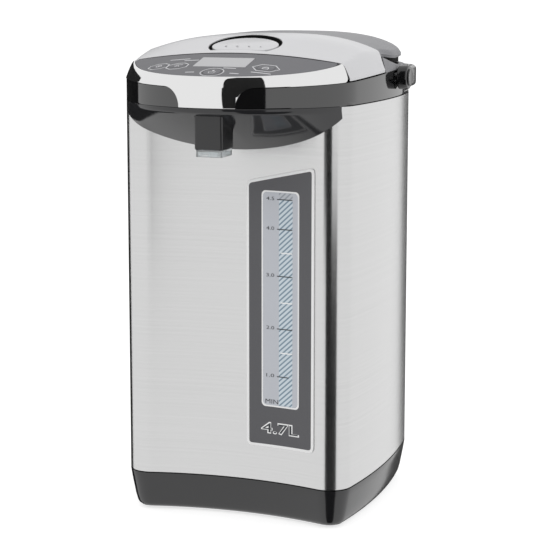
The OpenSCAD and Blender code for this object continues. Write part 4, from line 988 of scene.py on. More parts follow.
@dataclass
class Shell:
    """The steel casing and the dark base housing that it stands on."""

    wall: float = 0.8
    fold: float = 0.7
    inlet: Sizes = (46.6, 62.0, 30.6)
    inlet_cut: Flat = (60.0, 120.0)
    seam: tuple[Flat, ...] = ((1.2, -0.5), (-0.02, -0.45), (-0.06, 0.0), (-0.02, 0.45), (1.2, 0.5))
    base_lift: float = 2.5
    base_wall: float = 2.6
    levels: tuple[Flat, ...] = ((0.0, 9.0), (0.05, 6.8), (0.13, 5.5), (0.3, 4.0), (0.62, 2.0),
                                (1.0, 0.0))
    shares: Sizes = (0.0, 0.02, 0.05, 0.09, 0.13, 0.2, 0.3, 0.45, 0.62, 0.8, 0.97)
    foot: Sizes = (66.0, 64.0, 11.0, 4.0)

    def build(self) -> None:
        """Builds the casing, the base housing and the feet."""
        self.casing()
        self.seams()
        self.base()
        self.feet()

    def casing(self) -> None:
        """A folded sheet with an opening for the mains inlet at the rear."""
        z0, z1, f = FORM.base_top + 0.15, FORM.band_z - 0.1, self.fold
        edge = ((f, 0.0), (0.2 * f, 0.25 * f), (0.0, f), (0.0, 2 * f))
        rows = [*((i, z0 + h) for i, h in edge), (0.0, mix(z0, z1, 0.5)),
                *((i, z1 - h) for i, h in reversed(edge)), (f + self.wall, z1), (f + self.wall, z0)]
        made, hole = Former(), Former()
        made.loft([level(FORM.casing(i), z) for i, z in rows], joined=True)
        w, z, h = self.inlet
        depth, y = self.inlet_cut
        hole.prism(pad(w, depth, 1.0), [(z - h / 2, 1.0), (z + h / 2, 1.0)], shift(0, y))
        made.done("casing_sheet", Body.POT, CASING_STEEL, ["outer_casing"], [hole])

    def seams(self) -> None:
        """The dark joints of the casing with the head and with the base."""
        made = Former()
        for z in (FORM.base_top, FORM.band_z):
            made.loft([level(FORM.casing(i), z + h) for i, h in self.seam], joined=True)
        made.done("casing_seams", Body.POT, SKIRT_DARK)

    def draw_in(self, u: float) -> float:
        """How far the base is drawn in, smoothly between its levels.

        Args:
            u: A share of the base's height.

        Returns:
            The inset there.
        """
        # A smooth cubic runs through the two levels about u and leans on the next ones.
        pts = [self.levels[0], *self.levels, self.levels[-1]]
        i = max(k for k in range(1, len(pts) - 2) if pts[k][0] <= u)
        t = (u - pts[i][0]) / (pts[i + 1][0] - pts[i][0])
        a, b, c, d = (p[1] for p in pts[i - 1:i + 3])
        square, cube = 2 * a - 5 * b + 4 * c - d, 3 * b - a - 3 * c + d
        return 0.5 * (2 * b + (c - a) * t + square * t**2 + cube * t**3)

    def base(self) -> None:
        """A drawn-in housing with a rounded foot and a fine rounded top edge."""
        top = FORM.base_top
        skin = [(self.draw_in(u), mix(self.base_lift, top, u)) for u in self.shares]
        skin += [(0.15, top - 0.35), (0.6, top)]
        inner = [(i + self.base_wall, z) for i, z in reversed(skin)]
        made = Former()
        made.loft([level(FORM.casing(i), z) for i, z in skin + inner], joined=True)
        made.done("base_shell", Body.POT, BASE_GLOSS, ["base_housing"])

    def feet(self) -> None:
        """Four turned rubber feet with a rounded tread."""
        x, y, r, h = self.foot
        tread = [(0, 0.3), (r - 4, 0.3), (r - 3.4, 0), (r - 1.2, 0), (r - 0.4, 0.4), (r, 1.2),
                 (r, h), (0, h)]
        made = Former()
        for sx in SIDES:
            for sy in SIDES:
                made.spin(tread, shift(sx * x, sy * y), 48)
        made.done("feet", Body.POT, RUBBER, ["rubber_feet"])


@dataclass
class Head:
    """The head's black band with its deck, the chin, the spout and the chrome fascia."""

    wall: float = 2.6
    flange: float = 2.6
    deck: float = 368.4
    deck_t: float = 2.4
    collar: Sizes = (76.0, 79.0, 378.0, 348.0)
    ear: Sizes = (22.0, 34.0, 7.0)
    ear_wrap: float = math.pi + 1.128
    chin: Sizes = (4.0, 37.0, 100.0, 96.0)
    chin_t: float = 2.4
    chin_r: float = 2.6
    spout: Sizes = (24.8, 25.4, 2.2, -136.9)
    spout_z: Flat = (325.4, 353.0)
    spout_cut: Flat = (300.0, 362.0)
    drop: float = 5.8
    pipe: Flat = (3.8, 5.0)
    tab: Flat = (24.5, 14.0)
    fascia_t: float = 1.8
    fascia_proud: float = -0.35
    fascia_turn: Sizes = (0.04, 0.09, 0.16, 0.25, 0.36, 0.48, 0.62, 0.78, 0.92)
    end_gap: float = 1.6
    end_round: Flat = (9.0, 4.5)
    shoulder: Sizes = (-8.6, 395.5, 8.6, 4.5)
    shoulder_fall: float = 0.19

    def build(self) -> None:
        """Builds the head's pieces."""
        self.band()
        self.chin_cover()
        self.spout_block()
        self.nozzle()
        self.fascia()
        self.shoulders()

    def band(self) -> None:
        """The band with its flange on the casing, deck, mouth's collar and hinge ears."""
        z, rim, under = FORM.band_z, FORM.head(self.wall), self.deck - self.deck_t
        made = Former()
        made.loft([level(FORM.casing(i), z + h) for i, h in
                   ((0.5, 0.0), (0.1, 0.15), (0.1, self.flange - 0.4), (0.6, self.flange))])
        # One skin runs up the band, in over the deck, round the collar and back under the deck.
        rows = [level(FORM.head(i), z + h)
                for i, h in ((0.6, 0.0), (0.15, 0.2), (0.0, 0.7), (0.0, 1.3))]
        rows += [[(x, y, FORM.split_z(y) + lift) for x, y in FORM.head(i)] for i, lift in
                 ((0.0, -1.4), (0.0, -0.8), (0.15, -0.3), (0.6, -0.1), (self.wall - 0.3, -0.1))]
        r0, r1, top, foot = self.collar
        collar = ((r1 + 1, self.deck), (r1, self.deck + 1), (r1, top - 0.8), (r1 - 0.8, top),
                  (r0 + 0.8, top), (r0, top - 0.8), (r0, foot), (r0 + 2, foot), (r0 + 2, under))
        turns = [math.atan2(y - FORM.tank_y, x) for x, y in rim]
        rows.append(level(rim, self.deck))
        rows += [[(r * math.cos(a), FORM.tank_y + r * math.sin(a), h) for a in turns]
                 for r, h in collar]
        made.loft([*rows, level(rim, under), level(rim, z)], joined=True)
        x0, x1, r = self.ear
        y, h = FORM.hinge
        bow = [math.pi - self.ear_wrap * i / 24 for i in range(25)]
        foot = self.deck - 0.3
        side = [(y - r, foot), *((y + r * math.cos(a), h + r * math.sin(a)) for a in bow),
                (y + 3, foot)]
        for s in SIDES:
            made.loft([[(s * x, a, b) for a, b in side] for x in (x0, x1)])
        made.done("head_band", Body.POT, BAND_GLOSS, ["head_ring"])

    def chin_low(self, x: float) -> float:
        """Height where the chin meets the casing."""
        lip, drop, half, _ = self.chin
        return FORM.band_z - lip / 2 - drop * max(0.0, 1 - (x / half) ** 2) ** 0.6

    def chin_section(self, x: float) -> list[Point]:
        """The chin's section, with a rounded lip.

        Args:
            x: Distance from the middle.

        Returns:
            Points round the section.
        """
        top, lip = FORM.band_z, FORM.band_z - self.chin[0]
        rim = -FORM.beak_c - math.sqrt(FORM.beak_r**2 - x * x)
        wall = FORM.wall_y(x) - FORM.gap
        low, t = min(self.chin_low(x), lip - 0.5), min(self.chin_t, (wall - rim) / 3)
        run = math.hypot(wall - rim, low - lip)
        r = min(self.chin_r, 0.3 * run)
        bend = [(rim + r * u * u * (wall - rim) / run,
                 lip + r * (1 - u) ** 2 + r * u * u * (low - lip) / run)
                for u in (0.0, 0.25, 0.5, 0.75, 1.0)]
        line = [(rim + 0.4, top - 0.15), (rim, top - 0.6), *bend, (wall, low),
                (wall, low + 1.4 * t), (rim + t, lip + 0.3 * t), (rim + t, top - 0.15)]
        return [(x, y, z) for y, z in line]

    def chin_cover(self) -> None:
        """The chin closes the beak from below and meets the casing on a curve like a smile."""
        end, n = self.chin[3], 96
        w, d, r, y = self.spout
        made, hole = Former(), Former()
        made.loft([self.chin_section(end * swell(1 - 2 * i / n)) for i in range(n + 1)])
        hole.prism(pad(w + 0.6, d + 0.6, r), [(z, 1.0) for z in self.spout_cut], shift(0, y))
        made.done("chin", Body.POT, CHIN_GLOSS, ["chin_cover"], [hole])

    def spout_row(self, inset: float, z: float, least: float = 0.0) -> list[Point]:
        """The spout's outline at a height, drawn in by inset, with corners of at least a radius."""
        w, d, r, y = self.spout
        return level([(a, b + y) for a, b in
                      pad(w - 2 * inset, d - 2 * inset, max(least, r - inset))], z)

    def spout_block(self) -> None:
        """A rounded block under the chin."""
        z0, z1 = self.spout_z
        made = Former()
        made.loft([self.spout_row(i, z) for i, z in
                   ((1.2, z0), (0.5, z0 + 0.25), (0.0, z0 + 1.2), (0.0, z1))])
        made.done("spout_block", Body.POT, SPOUT_SATIN, ["spout_housing"])

    def nozzle(self) -> None:
        """A clear skirt with the outlet pipe in its middle."""
        top, low = self.spout_z[0] - 0.05, self.spout_z[0] - self.drop
        made = Former()
        made.loft([self.spout_row(i, z, 0.6) for i, z in
                   ((1.0, top), (1.0, low + 0.5), (1.4, low), (2.1, low), (2.6, low + 0.5),
                    (2.6, top - 1.6))])
        made.spin(tube(*self.pipe, low, top - 1.7), shift(0, self.spout[3]), 40)
        made.done("outlet_skirt", Body.POT, CLEAR, ["outlet_nozzle"])

    def swept(self, x: float) -> float:
        """How far the tab has swept up at a distance from the middle."""
        half, flare = self.tab
        return clamp((abs(x) - half) / flare)

    def tab_low(self, x: float) -> float:
        """Lower edge of the fascia in front: a tab that sweeps up to the band's top."""
        low, rise = FORM.band_z + 0.15, math.sqrt(1 - (1 - self.swept(x)) ** 2)
        return mix(low, low + FORM.band_h, rise)

    def fascia_section(self, a: float) -> list[Point]:
        """The fascia's section.

        Args:
            a: Angle round the beak.

        Returns:
            Points round the section.
        """
        e, rim, proud, t = FORM.panel_off, FORM.beak_reach(a), self.fascia_proud, self.fascia_t
        width = rim + e * math.sin(a) - math.sqrt(FORM.panel_r**2 - (e * math.cos(a)) ** 2)

        def at(d: float) -> Flat:
            """The place at a distance inside the head's outline."""
            return (rim - d) * math.cos(a), (rim - d) * math.sin(a) - FORM.beak_c

        x, y = at(0.0)
        low = self.tab_low(x) + (y + FORM.beak) * FORM.tilt * self.swept(x)
        base, high = FORM.split_z(y) + 0.15, FORM.top_z(*at(width))
        start = max(base, low + 0.5)
        line = [(0.1, low), (proud * 0.7, low + 0.1), (proud, low + 0.4), (proud, start)]
        line += [(mix(proud, width - 0.15, u), mix(start, high, swell(u)))
                 for u in self.fascia_turn]
        line += [(width - 0.15, high - 0.15), (width, high - 2.5), (t, base), (t, low)]
        return [(*at(d), z) for d, z in line]

    def fascia(self) -> None:
        """Chrome round the front of the top, with its tab in the middle of the band."""
        half, flare = self.tab

        def angle(x: float) -> float:
            """The angle round the beak at a distance from the middle."""
            return math.acos(clamp(x / FORM.beak_r))

        # Sections stand closer together where the tab's edge is steep.
        outer = [mix(FORM.beak_a, angle(half + flare), i / 22) for i in range(23)]
        outer += [angle(half + flare * (i / 18) ** 2) for i in range(17, -1, -1)]
        middle = [-math.acos(half * k / 6 / FORM.beak_r) for k in range(-5, 6)]
        turns = [a - math.pi for a in outer] + middle + [-a for a in reversed(outer)]
        made, lip = Former(), Former()
        made.loft([self.fascia_section(a) for a in turns])
        made.bend(self.round_end)
        made.done("fascia_chrome", Body.POT, CHROME, ["fascia"], angle=50)
        for ends in (outer[:3], [math.pi - a for a in outer[:3]]):
            rows = [self.fascia_section(-a) for a in ends]
            lip.loft([[(x * 0.983, y + 0.6, z - 0.9) for x, y, z in row] for row in rows])
        lip.done("fascia_lip", Body.POT, SKIRT_DARK)

    def round_end(self, v: Vector) -> Point:
        """Draws the fascia's ends in and rounds their lower corners.

        Args:
            v: A place on the fascia.

        Returns:
            Where it goes.
        """
        size, r = self.end_round
        a, reach = math.atan2(v.y + FORM.beak_c, abs(v.x)), math.hypot(v.x, v.y + FORM.beak_c)
        along = FORM.beak_r * (-FORM.beak_a - a)
        rise = v.z - FORM.split_z(v.y) - 0.15
        cut = self.end_gap + (r - math.sqrt(max(0.0, r * r - max(0.0, r - rise) ** 2)))
        turn = a - cut * clamp(1 - along / size) ** 2 / FORM.beak_r
        x, y = reach * math.cos(turn), reach * math.sin(turn) - FORM.beak_c
        return math.copysign(x, v.x), y, v.z

    def shoulder_section(self, p: Flat, q: Flat) -> list[Point]:
        """The shoulder's section where the outline passes a point.

        Args:
            p: The point.
            q: The point 1 mm further in.

        Returns:
            Points round the section.
        """
        y0, top, wide, ledge = self.shoulder
        nx, ny = q[0] - p[0], q[1] - p[1]
        fade = 1 - smooth((p[1] - y0) / 30)
        w, low = mix(wide, ledge, smooth((p[1] - 45) / 30)), FORM.split_z(p[1]) + 0.1
        high = max(low + 1.6, top - self.shoulder_fall * (p[1] - y0))
        full = max(high, FORM.top_z(p[0] + FORM.rim * nx, p[1] + FORM.rim * ny))
        d = min(w - 0.5, FORM.rim * math.asin(clamp((high - low) / (full - low))) / QUARTER)
        line = [(d * u, mix(low, full, swell(d * u / FORM.rim))) for u in (0, 0.2, 0.45, 0.7, 0.9)]
        line += [(d + 0.1, high - 0.1), (d + 0.6, high), (w - 0.3, high), (w, high - 0.3), (w, low)]
        return [(p[0] + s * nx, p[1] + s * ny + 0.85 * s * fade, z) for s, z in line]

    def shoulders(self) -> None:
        """The grey shoulder beside and behind the lid, which falls to a low ledge at the rear."""
        edge, within = (FORM.rear_line(i, self.shoulder[0]) for i in (0, 1))
        made = Former()
        made.loft([self.shoulder_section(p, q) for p, q in zip(edge, within)])
        made.done("shoulder", Body.POT, COVER_GREY, ["rear_shoulders"])


def stroke(line: Outline, t: float, at: Flat = (0.0, 0.0)) -> Stroke:
    """The outer and the inner edge of a printed line of width t, moved to a place."""
    outer, inner = ([(x + at[0], y + at[1]) for x, y in edge] for edge in (line, drawn_in(line, t)))
    return outer, inner


class Key(Enum):
    """The keys: round pours, right locks, inner keeps warm and outer boils again."""

    ROUND = "round"
    RIGHT = "right"
    INNER = "inner"
    OUTER = "outer"


@dataclass
class Panel:
    """The control panel with its display, keys and printed signs."""

    end: float = 89.03
    groove_y: float = -90.5
    groove_bow: Sizes = (5.5, 5.0, 0.4)
    display: Sizes = (46.0, 24.5, -114.5)
    round_r: float = 7.4
    key: Flat = (14.0, 9.0)
    key_gap: float = 0.4
    bulk: Sizes = (84.0, 368.5, 1.2, 6.6)
    sign_print: Flat = (0.24, 0.1)
    panel_print: Flat = (0.07, 0.15)
    rules: tuple[tuple[Flat, float], ...] = (
        ((40.0, -135.0), 17.0), ((-19.5, -140.6), 8.0), ((19.5, -141.6), 8.0),
        ((-43.0, -104.0), 18.0), ((-31.0, -108.5), 13.0), ((11.0, -129.4), 11.0))
    keys: dict[Key, tuple[Body, str, Flat]] = field(default_factory=lambda: {
        Key.ROUND: (Body.ROUND_KEY, "key_round", (0.0, -140.5)),
        Key.RIGHT: (Body.RIGHT_KEY, "key_right", (40.0, -122.6)),
        Key.INNER: (Body.LEFT_INNER_KEY, "key_left_inner", (-38.0, -122.6)),
        Key.OUTER: (Body.LEFT_OUTER_KEY, "key_left_outer", (-56.0, -119.2))})

    def groove(self, x: float) -> float:
        """Depth of the groove between panel and lid.

        Args:
            x: Distance from the middle.

        Returns:
            The depth there.
        """
        short, bow, fall = self.groove_bow
        half = FORM.panel_r - short
        return self.groove_y + bow * min(1.0, (x / half) ** 2) - fall * max(0.0, abs(x) - half)

    def on(self, p: Flat) -> Matrix:
        """The frame of the panel at a point of its top.

        Args:
            p: The point.

        Returns:
            The frame, with Z standing on the panel.
        """
        lean = 2 * FORM.crown(p[1]) * p[0] / FORM.crown_half**2
        n = Vector((lean, -FORM.slope, 1.0)).normalized()
        return (shift(*p, FORM.top_z(*p)) @ Matrix.Rotation(math.asin(-n.y), 4, "X")
                @ Matrix.Rotation(math.atan2(n.x, math.hypot(n.y, n.z)), 4, "Y"))

    def outline(self, key: Key) -> list[Flat]:
        """The outline of a key about its place.

        Args:
            key: The key.

        Returns:
            Points round the outline.
        """
        if key is Key.ROUND:
            return regular(48, self.round_r, self.round_r)
        return pad(*self.key, 2.5 if key is Key.RIGHT else 1.5, 5)

    def build(self) -> None:
        """Builds the panel, the display, the keys and the printed signs."""
        self.plate()
        self.seal()
        self.bulkhead()
        self.pane()
        for key in self.keys:
            self.cap(key)
        self.prints()

    def plate(self) -> None:
        """The curved panel with openings for the display and the keys."""
        c, r = FORM.beak_c + FORM.panel_off, FORM.panel_r - FORM.gap

        def spot(u: float, w: float) -> Point:
            """A place on the panel, with its front and rear edges turned down.

            Args:
                u: Share across, from -1 to 1.
                w: Share along, from -1 to 1.

            Returns:
                The place.
            """
            x = self.end * swell(u)
            y = mix(-c - math.sqrt(r * r - x * x), self.groove(x), (w + 1) / 2)
            return x, y, FORM.top_z(x, y) - 0.25 * smooth((abs(w) - 0.97) / 0.03)

        made = Former()
        made.grid(72, 40, spot)
        made.thicken((0, 0, -FORM.skin))
        w, d, y = self.display
        shapes = [((0.0, y), pad(w + 0.3, d + 0.3, 1.2, 4))]
        for key, (_, _, place) in self.keys.items():
            line = self.outline(key)
            grow = 1 + self.key_gap / max(x for x, _ in line)
            shapes.append((place, [(x * grow, b * grow) for x, b in line]))
        holes = [Former() for _ in shapes]
        for hole, (place, line) in zip(holes, shapes):
            hole.prism(line, [(-6.0, 1.0), (6.0, 1.0)], self.on(place))
        made.done("panel_plate", Body.POT, PANEL_GREY, ["control_panel"], holes)

    def seal(self) -> None:
        """The dark bead that fills the groove behind the panel."""
        section = [(0.1, -2.0), (0.1, -0.1), (0.3, 0.16), (0.65, 0.22), (1.0, 0.16), (1.2, -0.1),
                   (1.2, -2.0)]
        made = Former()
        made.loft([[(x, self.groove(x) + s, FORM.top_z(x, self.groove(x)) + z) for s, z in section]
                   for x in (self.end * i / 40 for i in range(-40, 41))])
        made.done("panel_seal", Body.POT, SKIRT_DARK)

    def bulkhead(self) -> None:
        """The dark wall that shuts off the board under the panel from the tank's mouth."""
        half, low, wall, back = self.bulk
        rows = []
        for x in (half * i / 24 for i in range(-24, 25)):
            y = self.groove(x) - back
            high = FORM.top_z(x, y) - FORM.skin - 0.2
            rows.append([(x, y, low), (x, y, high), (x, y + wall, high), (x, y + wall, low)])
        made = Former()
        made.loft(rows)
        made.done("panel_bulkhead", Body.POT, DARK_MATTE)

    def pane(self) -> None:
        """The display's pane with a softened edge."""
        w, d, y = self.display
        made = Former()
        made.prism(pad(w, d, 1.0, 4), [(-2.0, 1.0), (-0.25, 1.0), (0.0, 0.988)], self.on((0.0, y)))
        made.done("display_pane", Body.POT, DISPLAY, ["display_window"])

    def cap(self, key: Key) -> None:
        """One key with its stem and a plain sign on it.

        Args:
            key: The key.
        """
        body, node, place = self.keys[key]
        stand = self.on(place)
        made, sign = Former(), Former()
        made.prism(self.outline(key), [(-2.8, 1.0), (-0.2, 1.0), (0.1, 0.985), (0.2, 0.94)],
                   stand)
        made.spin(tube(0, 2, -6.1, -2.8), stand, 24)
        made.done(f"{key.value}_key_cap", body, KEY_GREY, [node])
        lift, t = self.sign_print
        for edges in self.sign(key):
            outer, inner = ([stand @ Vector((x, y, lift)) for x, y in edge] for edge in edges)
            sign.push(sign.ring(outer), inner)
        sign.thicken((0, 0, -t))
        sign.done(f"{key.value}_key_sign", body, PRINT_LIGHT)

    @staticmethod
    def sign(key: Key) -> list[Stroke]:
        """The strokes of a key's sign.

        Args:
            key: The key.

        Returns:
            Both edges of each stroke.
        """
        if key is Key.ROUND:
            cup = [(-3.2, 1.6), (-2.2, -2.6), (2.2, -2.6), (3.2, 1.6)]
            return [stroke(cup, 0.55, (0, -0.8)), stroke(regular(12, 1.0, 1.3), 0.9, (0, 3.4))]
        if key is Key.RIGHT:
            turns = [math.pi * i / 10 for i in range(11)]
            arch = [(2.0 * math.cos(a), 2.0 * math.sin(a) + 0.4) for a in turns]
            return [stroke(pad(5.4, 3.8, 0.5, 3), 0.7, (0, -1.4)), stroke(arch, 0.6)]
        if key is Key.INNER:
            return [stroke(regular(3, 2.6, 2.6, QUARTER), 0.7, (0, -0.4)),
                    stroke(pad(7.6, 0.9, 0.3, 3), 0.4, (0, 3.0))]
        return [stroke(regular(24, 2.7, 2.7), 0.7), stroke(regular(4, 1.0, 1.0), 0.9)]

    def prints(self) -> None:
        """Outlines round the keys and fine rules beside them, printed on the panel."""
        eighth = math.pi / 8
        frames = {Key.ROUND: (regular(64, 10.0, 10.0), 0.7),
                  Key.RIGHT: (regular(6, 12.2, 9.4), 0.8),
                  Key.INNER: (regular(8, 10.2, 8.6, eighth), 0.8),
                  Key.OUTER: (regular(8, 9.6, 7.8, eighth), 0.8)}
        traces = [(*frames[key], place) for key, (_, _, place) in self.keys.items()]
        traces += [(pad(w, 1.3, 0.4, 2), 0.64, at) for at, w in self.rules]
        lift, t = self.panel_print
        made = Former()
        for line, width, at in traces:
            outer, inner = ([(x, y, FORM.top_z(x, y) + lift) for x, y in edge]
                            for edge in stroke(finer(line, 1.5), width, at))
            made.push(made.ring(outer), inner)
        made.thicken((0, 0, -t))
        made.done("panel_signs", Body.POT, PRINT_LIGHT)


@dataclass
class Lid:
    """The hinged lid: its silver cover, grey rear cover, skirt, liner and plug."""

    slant: float = 9.0
    groove_w: float = 1.6
    seam_half: float = 107.4
    hole: Sizes = (32.0, 28.0, -17.4)
    lost: float = 9.2
    over: float = 5.7
    edge: Flat = (3.0, 4.0)
    side_y: float = 3.0
    skirt: Sizes = (0.6, 1.8, 388.6)
    skirt_far: float = 2.2
    skirt_fall: Flat = (394.4, 0.19)
    skirt_gap: Sizes = (38.0, 60.0, 399.6)
    liner: Sizes = (379.6, 2.0, 9.0, 77.0)
    liner_front: float = -78.5
    posts: tuple[Flat, ...] = ((-64, -62), (64, -62), (-60, 46), (60, 46))
    knuckle: Sizes = (2.55, 6.0, 21.5)
    plug: Sizes = (70.0, 4.0, 356.0)
    gasket: tuple[Flat, ...] = ((0, 364), (3, 364), (4.3, 364.8), (4.5, 366), (4.3, 367.2),
                                (3, 368), (0, 368), (0, 364))
    valve: tuple[Flat, ...] = ((0, 346.8), (4, 346.5), (7.6, 346.5), (9, 347.5), (9, 353.5),
                               (0, 353.5))
    valve_y: float = 26.0

    def build(self) -> None:
        """Builds the lid's pieces."""
        self.cover()
        self.rear_cover()
        self.rear_skirt()
        self.inside()

    @staticmethod
    def on_slope() -> Matrix:
        """The frame of the lever on the slope."""
        y = FORM.lever_y
        return shift(0, y, FORM.slope_z(y)) @ Matrix.Rotation(math.atan(FORM.slope), 4, "X")

    @staticmethod
    def d_shape(a: float, b: float, front: float, steps: int = 56) -> list[Flat]:
        """An outline like a D, which is an ellipse cut straight in front.

        Args:
            a: Half the ellipse's width.
            b: Half its depth.
            front: Where it is cut.
            steps: Steps round the curve.

        Returns:
            Points from one end of the cut round to the other.
        """
        t0 = math.asin(front / b)
        turns = [mix(t0, math.pi - t0, i / steps) for i in range(steps + 1)]
        return [(a * math.cos(t), b * math.sin(t)) for t in turns]

    def cover(self) -> None:
        """The silver cover with its rounded rim and the finger hole."""
        panel = Panel()
        wide = FORM.head_half(panel.groove_y)

        def spot(u: float, w: float) -> Point:
            """A place on the cover between the panel's groove and the rear cover's seam.

            Args:
                u: Share across, from -1 to 1.
                w: Share along, from -1 to 1.

            Returns:
                The place.
            """
            t = swell(u)
            front = panel.groove(t * wide) + self.groove_w
            rear = FORM.seam_y(t * self.seam_half) - self.slant * smooth((abs(t) - 0.88) / 0.12)
            y = mix(front, rear, (w + 1) / 2)
            x = t * (FORM.head_half(y) - FORM.gap)
            base = FORM.split_z(y) + FORM.gap + FORM.skin
            share = swell(clamp(FORM.rim_distance(x, y) / FORM.rim))
            return x, y, mix(base, FORM.top_z(x, y), share)

        made, hole = Former(), Former()
        made.grid(110, 56, spot)
        made.thicken((0, 0, -FORM.skin))
        hole.prism(self.d_shape(*self.hole), [(-12.0, 1.0), (12.0, 1.0)], self.on_slope())
        made.done("lid_top", Body.LID, LID_SILVER, ["lid_cover"], [hole])

    @staticmethod
    def reach(y: float) -> float:
        """How far the rear cover reaches out over the low ledge at its sides, as a share."""
        return smooth((y - 8.0) / 24.0) * (1.0 - smooth((y - 62.0) / 22.0))

    def reached(self, p: Flat, q: Flat) -> Flat:
        """A point of the near line drawn out towards its neighbour on the far line."""
        share = self.reach(p[1])
        return mix(p[0], q[0], share), mix(p[1], q[1], share)

    def rear_z(self, x: float, y: float) -> float:
        """Height of the rear cover with its rounded edge.

        Args:
            x: Distance from the middle.
            y: Depth.

        Returns:
            The height there.
        """
        drop, soft = self.edge
        inside = FORM.rim_distance(x, y) - self.lost + self.over * self.reach(y)
        return FORM.top_z(x, y) - drop * (1 - swell(clamp(inside / soft)))

    def rear_cover(self) -> None:
        """The grey cover over the hinge."""
        near, far = (FORM.rear_line(i, self.side_y) for i in (self.lost, self.lost - self.over))
        line = [self.reached(p, q) for p, q in zip(near, far)]
        n, half = len(line) - 1, line[0][0]

        def spot(u: float, w: float) -> Point:
            """A place on the cover between its seam and its edge.

            Args:
                u: Share across, from -1 to 1.
                w: Share along, from -1 to 1.

            Returns:
                The place.
            """
            i = (1 - u) / 2 * n
            k = min(n - 1, int(i))
            ex, ey = (mix(line[k][c], line[k + 1][c], i - k) for c in (0, 1))
            s, front = swell((w + 1) / 2), half * math.cos(math.pi * i / n)
            x, y = mix(front, ex, s), mix(FORM.seam_y(front) + FORM.gap, ey, s)
            return x, y, self.rear_z(x, y)

        made = Former()
        made.grid(n, 34, spot)
        made.thicken((0, 0, -FORM.skin))
        made.done("lid_rear", Body.LID, COVER_GREY, ["lid_rear_cover"])

    def rear_skirt(self) -> None:
        """The dark skirt below the rear cover's edge, open over the hinge."""
        inside, t, low = self.skirt
        high, fall = self.skirt_fall
        gap_x, gap_y, gap_z = self.skirt_gap
        near, far = self.lost + inside, self.lost - self.over + self.skirt_far
        rows = []
        for p, f, q in zip(*(FORM.rear_line(i, self.side_y) for i in (near, far, near + t))):
            # The foot follows the shoulder's fall and stays high over the hinge.
            over_hinge = abs(p[0]) < gap_x and p[1] > gap_y
            foot = gap_z if over_hinge else max(low, high - fall * p[1])
            p = self.reached(p, f)
            top = min(self.rear_z(*p), self.rear_z(*q)) - FORM.skin - 0.4
            rows.append([(*p, foot), (*p, top), (*q, top), (*q, foot)])
        made = Former()
        made.loft(rows)
        made.done("lid_skirt", Body.LID, SKIRT_DARK, ["lid_rear_skirt"])

    def inside(self) -> None:
        """The liner, the steel inner plate, the gasket and the valve."""
        self.liner_shell()
        r, _, foot = self.plug
        axis = shift(0, FORM.tank_y)
        plate, seal, valve = Former(), Former(), Former()
        plate.spin([(0, foot - 0.6), (18, foot - 0.6), (20, foot - 2.1), (r - 6, foot - 2.5),
                    (r - 2, foot - 2.2), (r - 0.5, foot - 1.2), (r - 0.5, foot), (0, foot)], axis)
        plate.done("lid_steel_plate", Body.LID, TANK_STEEL, ["lid_inner_plate"])
        seal.spin([(r + a, z) for a, z in self.gasket], axis)
        seal.done("lid_seal", Body.LID, SILICONE, ["lid_gasket"])
        valve.spin(self.valve, shift(0, self.valve_y), 48)
        valve.done("steam_valve_cap", Body.LID, PALE, ["steam_valve"])

    def liner_shell(self) -> None:
        """The liner with its plug, its hinge knuckle and the posts under the cover."""
        z, t, inset, rear = self.liner
        r, wall, foot = self.plug
        r0, r1, half = self.knuckle
        y, h = FORM.hinge
        made = Former()
        line = [(x, min(rear, max(self.liner_front, b))) for x, b in FORM.head(inset)]
        made.loft([level(line, z), level(line, z + t)])
        made.spin([(r - wall, z), (r - wall, foot + 0.6), (r - wall + 0.6, foot), (r - 0.6, foot),
                   (r, foot + 0.6), (r, z), (r - wall, z)], shift(0, FORM.tank_y))
        made.spin(tube(r0, r1, -half, half), shift(0, y, h) @ Matrix.Rotation(QUARTER, 4, "Y"), 48)
        block = [(rear - 8, z + 0.2), (rear - 8, h + 5), (y, h + 5), (y, h + 2.6), (rear, h - 0.5),
                 (rear, z + 0.2)]
        made.loft([[(x, a, b) for a, b in block] for x in (-half, half)])
        for x, a in self.posts:
            made.spin(tube(0, 4, z, FORM.top_z(abs(x) + 4, a) - 3.6), shift(x, a), 24)
        made.done("lid_liner_shell", Body.LID, DARK_MATTE, ["lid_liner"])


